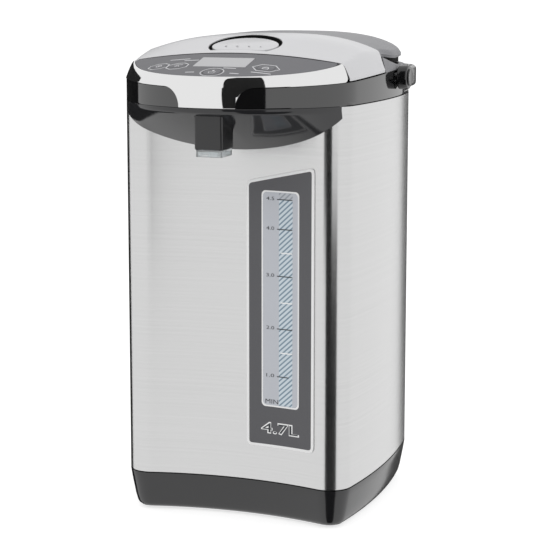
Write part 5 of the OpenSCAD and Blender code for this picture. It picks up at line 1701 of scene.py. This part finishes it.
@dataclass
class Lever:
    """The release lever in the lid and the dark tray under its finger hole, whose lining paints the
    hole's shade.
    """

    flap: Sizes = (29.5, 21.0, -16.0)
    flat: float = 0.87
    fall: float = 10.5
    thick: float = 2.6
    barrel: Sizes = (1.55, 2.9, 10.0, 19.0)
    axis: Flat = (-13.4, -3.6)
    tray: Sizes = (*Lid.hole, -13.0)
    brim: float = -4.8
    lug: tuple[Flat, ...] = ((19.4, -13.8), (19.4, -10.4), (22.4, -10.4), (22.4, -13.8))
    foot: Sizes = (24.0, 3.0, 381.6)
    dots: Sizes = (10.5, -5.2, 1.0)

    def drop(self, x: float) -> float:
        """How far the lever's crown falls at a distance from the middle."""
        return self.fall * (x / FORM.crown_half) ** 2

    def build(self) -> None:
        """Builds the lever and the tray."""
        slope = Lid.on_slope()
        made = Former()
        line = [(x, min(y, self.flat * y)) for x, y in Lid.d_shape(*self.flap)]
        made.prism(line, [(-self.thick, 0.985), (0.4 - self.thick, 1.0), (-0.7, 1.0),
                          (-0.2, 0.988), (0.0, 0.965)], Matrix.Identity(4))
        made.bend(lambda v: (v.x, v.y, v.z - self.drop(v.x)))
        pitch, y, r = self.dots
        for x in (k * pitch for k in (-1.5, -0.5, 0.5, 1.5)):
            made.spin([(0, 0.45), (0.5 * r, 0.38), (0.87 * r, 0.2), (r, -0.3), (0, -0.3)],
                      shift(x, y, -self.drop(x)), 20)
        r0, r1, x0, x1 = self.barrel
        half = (x1 - x0) / 2
        for s in SIDES:
            turn = shift(s * (x0 + x1) / 2, *self.axis) @ Matrix.Rotation(QUARTER, 4, "Y")
            made.spin(tube(r0, r1, -half, half), turn, 32)
        bmesh.ops.transform(made.bm, matrix=slope, verts=made.bm.verts[:])
        made.done("lever_flap", Body.LEVER, LID_SILVER, ["lid_lever"])
        self.bowl(slope)

    def bowl(self, slope: Matrix) -> None:
        """The tray: a D-shaped bowl with lugs for the lever's pin and feet on the liner. The tray
        is dark plastic, and its near-black lining rises over the lid's silver hole wall as painted
        shade in the finger hole.

        Args:
            slope: The frame of the lever on the slope.
        """
        a, b, front, floor = self.tray
        outer = Lid.d_shape(a + 1.4, b + 1.4, front - 1.4)
        sleeve = Lid.d_shape(a - 0.05, b - 0.05, front + 0.02)
        mouth = Lid.d_shape(a - 0.8, b - 0.8, front + 0.1)
        # The lining's top stands just under the lid's skin, so it covers the silver wall of the
        # hole with painted shade.
        rim = [-0.35 - self.drop(x) for x, _ in mouth]
        rows = [level(outer, floor), level(outer, self.brim), level(sleeve, self.brim)]
        rows += [[(*p, z) for p, z in zip(line, rim)] for line in (sleeve, mouth)]
        rows += [level([(x * s, y * s) for x, y in mouth], floor + h)
                 for s, h in ((1.0, 4.0), (0.97, 2.2), (0.9, 1.5))]
        made = Former()
        made.loft([[slope @ Vector(p) for p in row] for row in rows])
        x, r, low = self.foot
        high = FORM.slope_z(FORM.lever_y) + floor + 0.7
        for s in SIDES:
            made.loft([[slope @ Vector((s * u, v, z)) for u, v in self.lug]
                       for z in (floor + 0.5, self.axis[1])])
            made.spin(tube(0, r, low, high), shift(s * x, FORM.lever_y), 24)
        made.done("lever_bowl", Body.LID, FINGER_HOLE_SHADE, ["lever_tray"])


@dataclass
class Handle:
    """The carrying handle that lies folded round the rear of the head."""

    gap: float = 2.2
    thick: float = 8.0
    height: float = 18.0
    corner: float = 3.4
    pivot: Flat = (30.0, 376.5)
    bore: float = 4.05
    boss: Sizes = (10.5, 108.1, 117.1)
    cap_t: float = 1.5

    def build(self) -> None:
        """Builds the handle and its caps."""
        y0, z0 = self.pivot
        bore, (r, x0, x1) = self.bore, self.boss
        section = [(self.thick / 2 + a, b)
                   for a, b in pad(self.thick, self.height, self.corner, 6)]
        lines = {a: FORM.rear_line(-self.gap - a, y0) for a, _ in section}
        made, caps = Former(), Former()
        made.loft([[(*lines[a][i], z0 + b) for a, b in section]
                   for i in range(len(lines[section[0][0]]))])
        rim = r - 3
        for s in SIDES:
            turn = shift(0, y0, z0) @ Matrix.Rotation(s * QUARTER, 4, "Y")
            made.spin([(bore, x0), (r - 0.8, x0), (r, x0 + 0.8), (r, x1 - 1.2), (r - 0.4, x1 - 0.3),
                       (r - 1.2, x1), (bore, x1), (bore, x0)], turn, 64)
            caps.spin([(0, x1 + 0.05), (rim, x1 + 0.05), (rim, x1 + 0.9),
                       (rim - 0.6, x1 + self.cap_t), (rim - 2, x1 + 1.3), (0, x1 + 1.2)], turn, 48)
        made.done("carrying_handle", Body.HANDLE, HANDLE_GLOSS, ["bail_handle"])
        caps.done("pivot_caps", Body.HANDLE, HANDLE_GLOSS, ["handle_caps"])


@dataclass
class Gauge:
    """The water gauge on the hollow front: its panel, window, column and marks."""

    x0: float = 11.2
    x1: float = 72.9
    z0: float = 67.3
    z1: float = 294.1
    rise: float = 13.6
    corner: float = 4.4
    thick: float = 1.2
    window: Sizes = (24.7, 59.4, 102.5, 287.2)
    window_r: float = 3.4
    column: Flat = (40.6, 53.4)
    column_end: float = 1.4
    litres: tuple[tuple[str, float], ...] = (("4.5", 280.3), ("4.0", 255.2), ("3.0", 215.3),
                                             ("2.0", 170.2), ("1.0", 128.9))
    halves: Sizes = (235.2, 192.8, 149.6)
    last_short: float = 3.4
    ring: Flat = (0.6, -1.9)
    print_t: float = 0.1
    figure: Flat = (7.4, 2.9)
    low_mark: tuple[float, float, Flat] = (1.3, 106.8, (12.0, 3.8))
    capacity: tuple[float, Flat, Flat] = (83.4, (36.2, 10.4), (33.8, 8.2))

    def front(self, lift: float) -> Callable[[Vector], Point]:
        """A rule that lays a flat sheet on the casing's front, raised by lift."""
        return lambda v: (v.x, FORM.wall_y(v.x) - lift + v.y, v.z)

    def laid(self, line: Outline, lift: float) -> list[Point]:
        """An outline laid on the casing's front, raised by lift."""
        return [(x, FORM.wall_y(x) - lift, z) for x, z in line]

    def outline(self, inset: float) -> list[Flat]:
        """The panel's outline with its slanted top and rounded corners.

        Args:
            inset: How far the outline is drawn in.

        Returns:
            Points round the outline.
        """
        k, size = self.rise / (self.x1 - self.x0), max(0.3, self.corner - inset)
        a, b, low = self.x0 + inset, self.x1 - inset, self.z0 + inset
        high = self.z1 - inset * math.hypot(1, k)
        corners = [(b, low), (b, high + (b - self.x0) * k), (a, high + (a - self.x0) * k), (a, low)]
        line = []
        for i, corner in enumerate(corners):
            p, q = ((Vector(c) - Vector(corner)).normalized() * size
                    for c in (corners[i - 1], corners[(i + 1) % 4]))
            line += [tuple(Vector(corner) + p * (1 - u) ** 2 + q * u * u)
                     for u in (0, 0.2, 0.4, 0.6, 0.8, 1)]
        return line

    def plate(self, line: Outline, low: float, high: float) -> Former:
        """A sheet on the front.

        Args:
            line: Its outline.
            low: How far its back stands off the casing.
            high: How far its face stands off the casing.

        Returns:
            The mesh.
        """
        made = Former()
        made.cap(made.ring([(x, 0.0, z) for x, z in line]))
        made.slice(2.5)
        made.bend(self.front(high))
        made.thicken((0, high - low, 0))
        return made

    def build(self) -> None:
        """Builds the panel, the window, the column and the printing."""
        t = self.thick
        a, b, c, d = self.window
        mid, w, h = ((a + b) / 2, (c + d) / 2), b - a, d - c

        def box(grow: float) -> list[Flat]:
            """The window's outline, grown on all sides together."""
            line = finer(pad(w + grow, h + grow, self.window_r + grow / 2, 6), 3.0)
            return [(x + mid[0], z + mid[1]) for x, z in line]

        self.plate(self.outline(0.0), 0.02, t).done(
            "gauge_plate", Body.POT, GAUGE_GREY, ["gauge_panel"])
        self.plate(apart(box(0.0)), 0.3, t + 0.12).done(
            "gauge_pane", Body.POT, GAUGE_GLASS, ["gauge_window"])
        u, v = self.column
        full, end = self.litres[0][1], self.column_end
        for name, low, high, look in (("gauge_stripe", c + end, full, COLUMN),
                                      ("gauge_stripe_dry", full, d - end, COLUMN_DRY)):
            bar = [(u, low), (v, low), (v, high), (u, high)]
            self.plate(bar, t, t + 0.16).done(name, Body.POT, look)
        self.white_lines(box(self.ring[0]), mid, (w, h))
        self.ticks()
        beside = (u + a) / 2
        for text, z in self.litres:
            self.words(f"gauge_figure_{text.replace('.', '_')}", text, (beside - 0.2, z + 0.6),
                       self.figure)
        x, z, size = self.low_mark
        self.words("gauge_low_mark", "MIN", (beside + x, z), size)
        z, wide, narrow = self.capacity
        at = (mid[0] - 0.2, z)
        self.words("gauge_capacity_edge", "4.7L", at, wide, 0.06, PRINT_WHITE, 0.035)
        self.words("gauge_capacity", "4.7L", at, narrow, 0.1)

    def white_lines(self, ring: Outline, mid: Flat, size: Flat) -> None:
        """The white lines: round the window, at the half litres and round the whole panel.

        Args:
            ring: Outer edge of the line round the window.
            mid: Middle of the window.
            size: Width and height of the window.
        """
        t, (u, v), (grown, drawn) = self.thick, self.column, self.ring
        kx, kz = ((side + drawn) / (side + grown) for side in size)
        inner = [(mid[0] + (x - mid[0]) * kx, mid[1] + (z - mid[1]) * kz) for x, z in ring]
        made = Former()
        made.push(made.ring(self.laid(ring, t + 0.2)), self.laid(inner, t + 0.2))
        for z in self.halves:
            self.rule(made, (u + 1.8, v - 0.2), z, 0.95)
        made.thicken((0, self.print_t, 0))
        section = ((-0.9, 0.02), (-0.9, t - 0.2), (-0.6, t + 0.08), (1.5, t + 0.08), (1.5, 0.3))
        made.loft([self.laid(finer(self.outline(i), least=12), lift) for i, lift in section],
                  joined=True)
        made.done("gauge_white_lines", Body.POT, PRINT_WHITE)

    def ticks(self) -> None:
        """The dark marks at the litres, of which the lowest is shorter."""
        u, v = self.column
        made = Former()
        for i, (_, z) in enumerate(self.litres, 1):
            short = self.last_short if i == len(self.litres) else 0.2
            self.rule(made, (u - 1.8, v - short), z, 0.8)
        made.thicken((0, self.print_t, 0))
        made.done("gauge_ticks", Body.POT, PRINT_DARK)

    def rule(self, made: Former, span: Flat, z: float, t: float, n: int = 6) -> None:
        """A short printed line across the column.

        Args:
            made: The mesh it goes into.
            span: Where it starts and ends.
            z: Its height.
            t: Its thickness.
            n: Steps along it.
        """
        line = [(mix(*span, i / n), z - t / 2) for i in range(n + 1)]
        lower = made.chain(self.laid(line, self.thick + 0.24))
        made.push(lower, [(v.co.x, v.co.y, z + t / 2) for v in lower], closed=False)

    def words(self, name: str, text: str, at: Flat, size: Flat, lift: float = 0.2,
              look: Finish = PRINT_DARK, spread: float = 0.0) -> None:
        """Plain figures printed on the gauge.

        Args:
            name: Name of the piece.
            text: The figures.
            at: Where their middle goes.
            size: Their width and height.
            lift: How far they stand off the panel.
            look: Their finish.
            spread: How far their outline is grown.
        """
        made = figures(text, size, spread)
        made.bend(lambda v: (v.x + at[0], 0.0, v.z + at[1]))
        # Narrow strips let the figures follow the hollow front.
        made.slice(4.0)
        made.bend(self.front(self.thick + lift))
        made.thicken((0, self.print_t, 0))
        made.done(name, Body.POT, look)


def apart(line: Outline) -> list[Flat]:
    """An outline without points that fall on each other."""
    return [p for p, q in zip(line, [*line[1:], line[0]]) if math.dist(p, q) > 0.02]


@dataclass
class Inlet:
    """The mains inlet low on the rear."""

    size: Sizes = (46.0, 22.0, 30.0)
    at: Flat = (108.0, 62.0)
    wall: float = 3.0
    rim: Flat = (56.0, 38.0)
    rim_t: float = 3.7

    def build(self) -> None:
        """A rounded flange with a deep recess for the plug."""
        (w, d, h), (rim_w, rim_h), t = self.size, self.rim, self.rim_t
        body, mouth = pad(w, h, 4.0), pad(w - 2 * self.wall, h - 2 * self.wall, 2.6)
        flange, edge = pad(rim_w, rim_h, 5.0), pad(rim_w - 1.2, rim_h - 1.2, 4.4)
        rows = [(body, d), (body, t), (flange, t), (flange, 0.6), (edge, 0.0), (mouth, 0.0),
                (mouth, d - self.wall)]
        upright = shift(0, *self.at) @ Matrix.Rotation(QUARTER, 4, "X")
        made = Former()
        made.loft([[upright @ Vector((a, b, s)) for a, b in line] for line, s in rows])
        made.done("inlet_shell", Body.POT, DARK_MATTE, ["inlet_socket"])


@dataclass
class Tank:
    """The steel tank under the lid."""

    r: float = 85.5
    wall: float = 1.0
    floor: float = 84.0
    top: float = 346.0
    bend: float = 7.0
    flange: float = 5.0

    def build(self) -> None:
        """A drawn tank with a rounded floor and a turned flange."""
        r, f, top, bend, wide = self.r, self.floor, self.top, self.bend, self.r + self.flange
        inner = [(0.0, f + self.wall)]
        inner += [(r - bend + bend * math.sin(a), f + self.wall + bend * (1 - math.cos(a)))
                  for a in (QUARTER * i / 6 for i in range(7))]
        inner += [(r, top - 1.2), (r + 0.4, top - 0.3), (r + 1.2, top), (wide, top)]
        outer = [(wide, top - self.wall), (r + self.wall, top - 1.4), (r + self.wall, f + 6),
                 (r - 5, f), (0.0, f)]
        made = Former()
        made.spin(inner + outer, shift(0, FORM.tank_y), 128)
        made.done("tank_shell", Body.POT, TANK_STEEL, ["inner_tank"])


class Works:
    """Finishes for the solids inside the pot that keep their own shape."""

    looks: dict[str, Finish] = {
        "bottom_cover": DARK_MATTE, "bottom_screws": BRIGHT_STEEL, "chassis_plate": BRIGHT_STEEL,
        "sight_tube": CLEAR, "gauge_fitting_lower": DARK_MATTE, "gauge_fitting_upper": DARK_MATTE,
        "control_board": CIRCUIT, "latch_catch": BRIGHT_STEEL, "tank_seal": SILICONE,
        "tank_posts": BRIGHT_STEEL, "insulation_wrap": WRAP, "heater_plate": CAST,
        "thermal_cutout": PALE, "temperature_sensor": BRIGHT_STEEL, "pump_housing": PALE,
        "pump_cover": PALE, "pump_motor": CAST, "suction_hose": HOSE, "delivery_hose": HOSE,
        "power_board": CIRCUIT, "inlet_pins": BRIGHT_STEEL, "hinge_pin": BRIGHT_STEEL,
        "handle_pins": BRIGHT_STEEL, "pump_rotor": ROTOR, "lever_pin": BRIGHT_STEEL,
        "lever_spring": BRIGHT_STEEL, "latch_hook": DARK_MATTE,
    }

    def build(self) -> None:
        """Gives each of these solids its finish."""
        for name, look in self.looks.items():
            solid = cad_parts[name]
            for slot in solid.material_slots:
                slot.material = look.material()
            LOG.info("%s keeps its solid, in %s", name, look.name)


@dataclass
class Studio:
    """A pale floor, soft light, dark cards that only reflections see, and the camera."""

    eye: Point = (0.5419, -1.4556, 0.4724)
    yaw: float = math.radians(20.202)
    pitch: float = math.radians(8.973)
    lens: Flat = (116.55, 36.0)
    shift: Flat = (0.0096, -0.05)
    sky: Flat = (0.8, 1.0)
    floor_half: float = 30.0
    floor_shades: Flat = (0.75, 0.5)
    floor_glow: float = 0.72
    card_reach: float = 1.9
    far_cards: tuple[tuple[str, Flat, Flat, float], ...] = (
        ("rear_card", (171.0, 200.0), (-2.0, 0.56), 0.1),
        ("left_card", (200.0, 258.0), (-2.0, 0.9), 0.01))
    near_cards: tuple[tuple[str, Outline, Flat, float], ...] = (
        ("corner_card", ((0.050, -0.467), (0.395, -0.326)), (-1.2, 0.22), 0.01),
        ("head_card", ((-0.028, -0.467), (0.225, -0.408)), (0.2, 1.3), 0.01))
    lamps: tuple[tuple[str, Point, float, float], ...] = (
        ("key_lamp", (-1.3, -1.5, 1.7), 6.5, 1.4), ("side_lamp", (1.7, -0.2, 1.1), 5.5, 1.2),
        ("top_lamp", (0.0, 0.1, 2.1), 6.0, 1.6))
    lamp_aim: Point = (0.0, 0.0, 0.2)

    def build(self) -> None:
        """Builds the stage, the lights and the camera."""
        self.world()
        self.floor()
        reach = self.card_reach
        for name, ends, heights, shade in self.far_cards:
            turns = [math.radians(mix(*ends, i / 16)) for i in range(17)]
            line = [(reach * math.sin(a), -reach * math.cos(a)) for a in turns]
            self.card(name, line, heights, shade)
        for row in self.near_cards:
            self.card(*row)
        for row in self.lamps:
            self.lamp(*row)
        self.camera()

    @staticmethod
    def seen(tree: Tree) -> Socket:
        """One where the camera, a mirror or glass looks, and nothing where light only bounces.

        Args:
            tree: The tree it goes into.

        Returns:
            The value.
        """
        path = add(tree, "LightPath")
        value = path.outputs["Is Camera Ray"]
        for key in ("Is Glossy Ray", "Is Transmission Ray"):
            most = add(tree, "Math", operation="MAXIMUM")
            wire(tree, (value, most.inputs[0]), (path.outputs[key], most.inputs[1]))
            value = most.outputs[0]
        return value

    def world(self) -> None:
        """A white surrounding that lights the pot softly."""
        world = bpy.context.scene.world = bpy.data.worlds.new("studio")
        world.use_nodes = True
        tree = world.node_tree
        out, light = (next(n for n in tree.nodes if n.type == kind)
                      for kind in ("OUTPUT_WORLD", "BACKGROUND"))
        white, both = add(tree, "Background"), add(tree, "MixShader")
        # The pot is lit by the first strength, and metal and glass show the second.
        for node, strength in zip((light, white), self.sky):
            fill(node, {"Color": (1, 1, 1, 1), "Strength": strength})
        wire(tree, (self.seen(tree), both.inputs["Fac"]),
             (light.outputs["Background"], both.inputs[1]),
             (white.outputs["Background"], both.inputs[2]),
             (both.outputs["Shader"], out.inputs["Surface"]))

    def floor(self) -> None:
        """A pale floor that keeps a soft shadow."""
        made = bmesh.new()
        bmesh.ops.create_grid(made, x_segments=1, y_segments=1, size=self.floor_half)
        floor = as_object("floor", made)
        look = bpy.data.materials.new("pale_floor")
        look.use_nodes = True
        tree = look.node_tree
        tree.nodes.clear()
        out = add(tree, "OutputMaterial")
        glow = add(tree, "Emission", {"Strength": self.floor_glow})
        soft, part = (add(tree, "BsdfDiffuse", {"Color": (s, s, s, 1)}) for s in self.floor_shades)
        total, both = add(tree, "AddShader"), add(tree, "MixShader")
        wire(tree, (part.outputs["BSDF"], total.inputs[0]),
             (glow.outputs["Emission"], total.inputs[1]), (self.seen(tree), both.inputs["Fac"]),
             (soft.outputs["BSDF"], both.inputs[1]), (total.outputs["Shader"], both.inputs[2]),
             (both.outputs["Shader"], out.inputs["Surface"]))
        floor.data.materials.append(look)
        floor.visible_glossy = False

    @staticmethod
    def card(name: str, line: Outline, heights: Flat, shade: float) -> None:
        """A standing dark card that only reflections see.

        Args:
            name: Name of the card.
            line: Its line on the floor plan, in metres.
            heights: Its lower and upper edge, in metres.
            shade: How bright its grey is.
        """
        low, high = heights
        made = Former()
        made.push(made.chain([(*p, low) for p in line]), [(*p, high) for p in line], closed=False)
        card = as_object(name, made.bm)
        look = bpy.data.materials.new(name)
        fill(shader_of(look), {"Base Color": (shade, shade, shade, 1), "Roughness": 1.0})
        card.data.materials.append(look)
        card.visible_camera = card.visible_diffuse = False
        card.visible_shadow = card.visible_transmission = False

    def lamp(self, name: str, place: Point, power: float, size: float) -> None:
        """A large soft lamp that reflections don't see.

        Args:
            name: Name of the lamp.
            place: Where it hangs, in metres.
            power: Its power in watts.
            size: Length of its sides, in metres.
        """
        data = bpy.data.lights.new(name, "AREA")
        data.energy, data.size = power, size
        lamp = bpy.data.objects.new(name, data)
        lamp.location = place
        aim = Vector(self.lamp_aim) - Vector(place)
        lamp.rotation_euler = aim.to_track_quat("-Z", "Y").to_euler()
        lamp.visible_glossy = lamp.visible_camera = False
        bpy.context.scene.collection.objects.link(lamp)

    def camera(self) -> None:
        """The camera at the photograph's place."""
        yaw, pitch = self.yaw, self.pitch
        aim = Vector((-math.sin(yaw) * math.cos(pitch), math.cos(yaw) * math.cos(pitch),
                      -math.sin(pitch)))
        data = bpy.data.cameras.new("camera")
        data.lens, data.sensor_width = self.lens
        data.shift_x, data.shift_y = self.shift
        camera = bpy.data.objects.new("camera", data)
        camera.location = self.eye
        camera.rotation_euler = aim.to_track_quat("-Z", "Y").to_euler()
        bpy.context.scene.collection.objects.link(camera)
        bpy.context.scene.camera = camera


def main() -> None:
    """Builds the studio and the airpot piece by piece."""
    logging.basicConfig(level=logging.INFO, format="%(name)s: %(message)s")
    bpy.context.scene.view_settings.view_transform = "Standard"
    for group in (Studio(), Shell(), Head(), Panel(), Lid(), Lever(), Handle(), Gauge(), Inlet(),
                  Tank(), Works()):
        LOG.info("building %s", type(group).__name__)
        group.build()


if __name__ == "__main__":
    main()
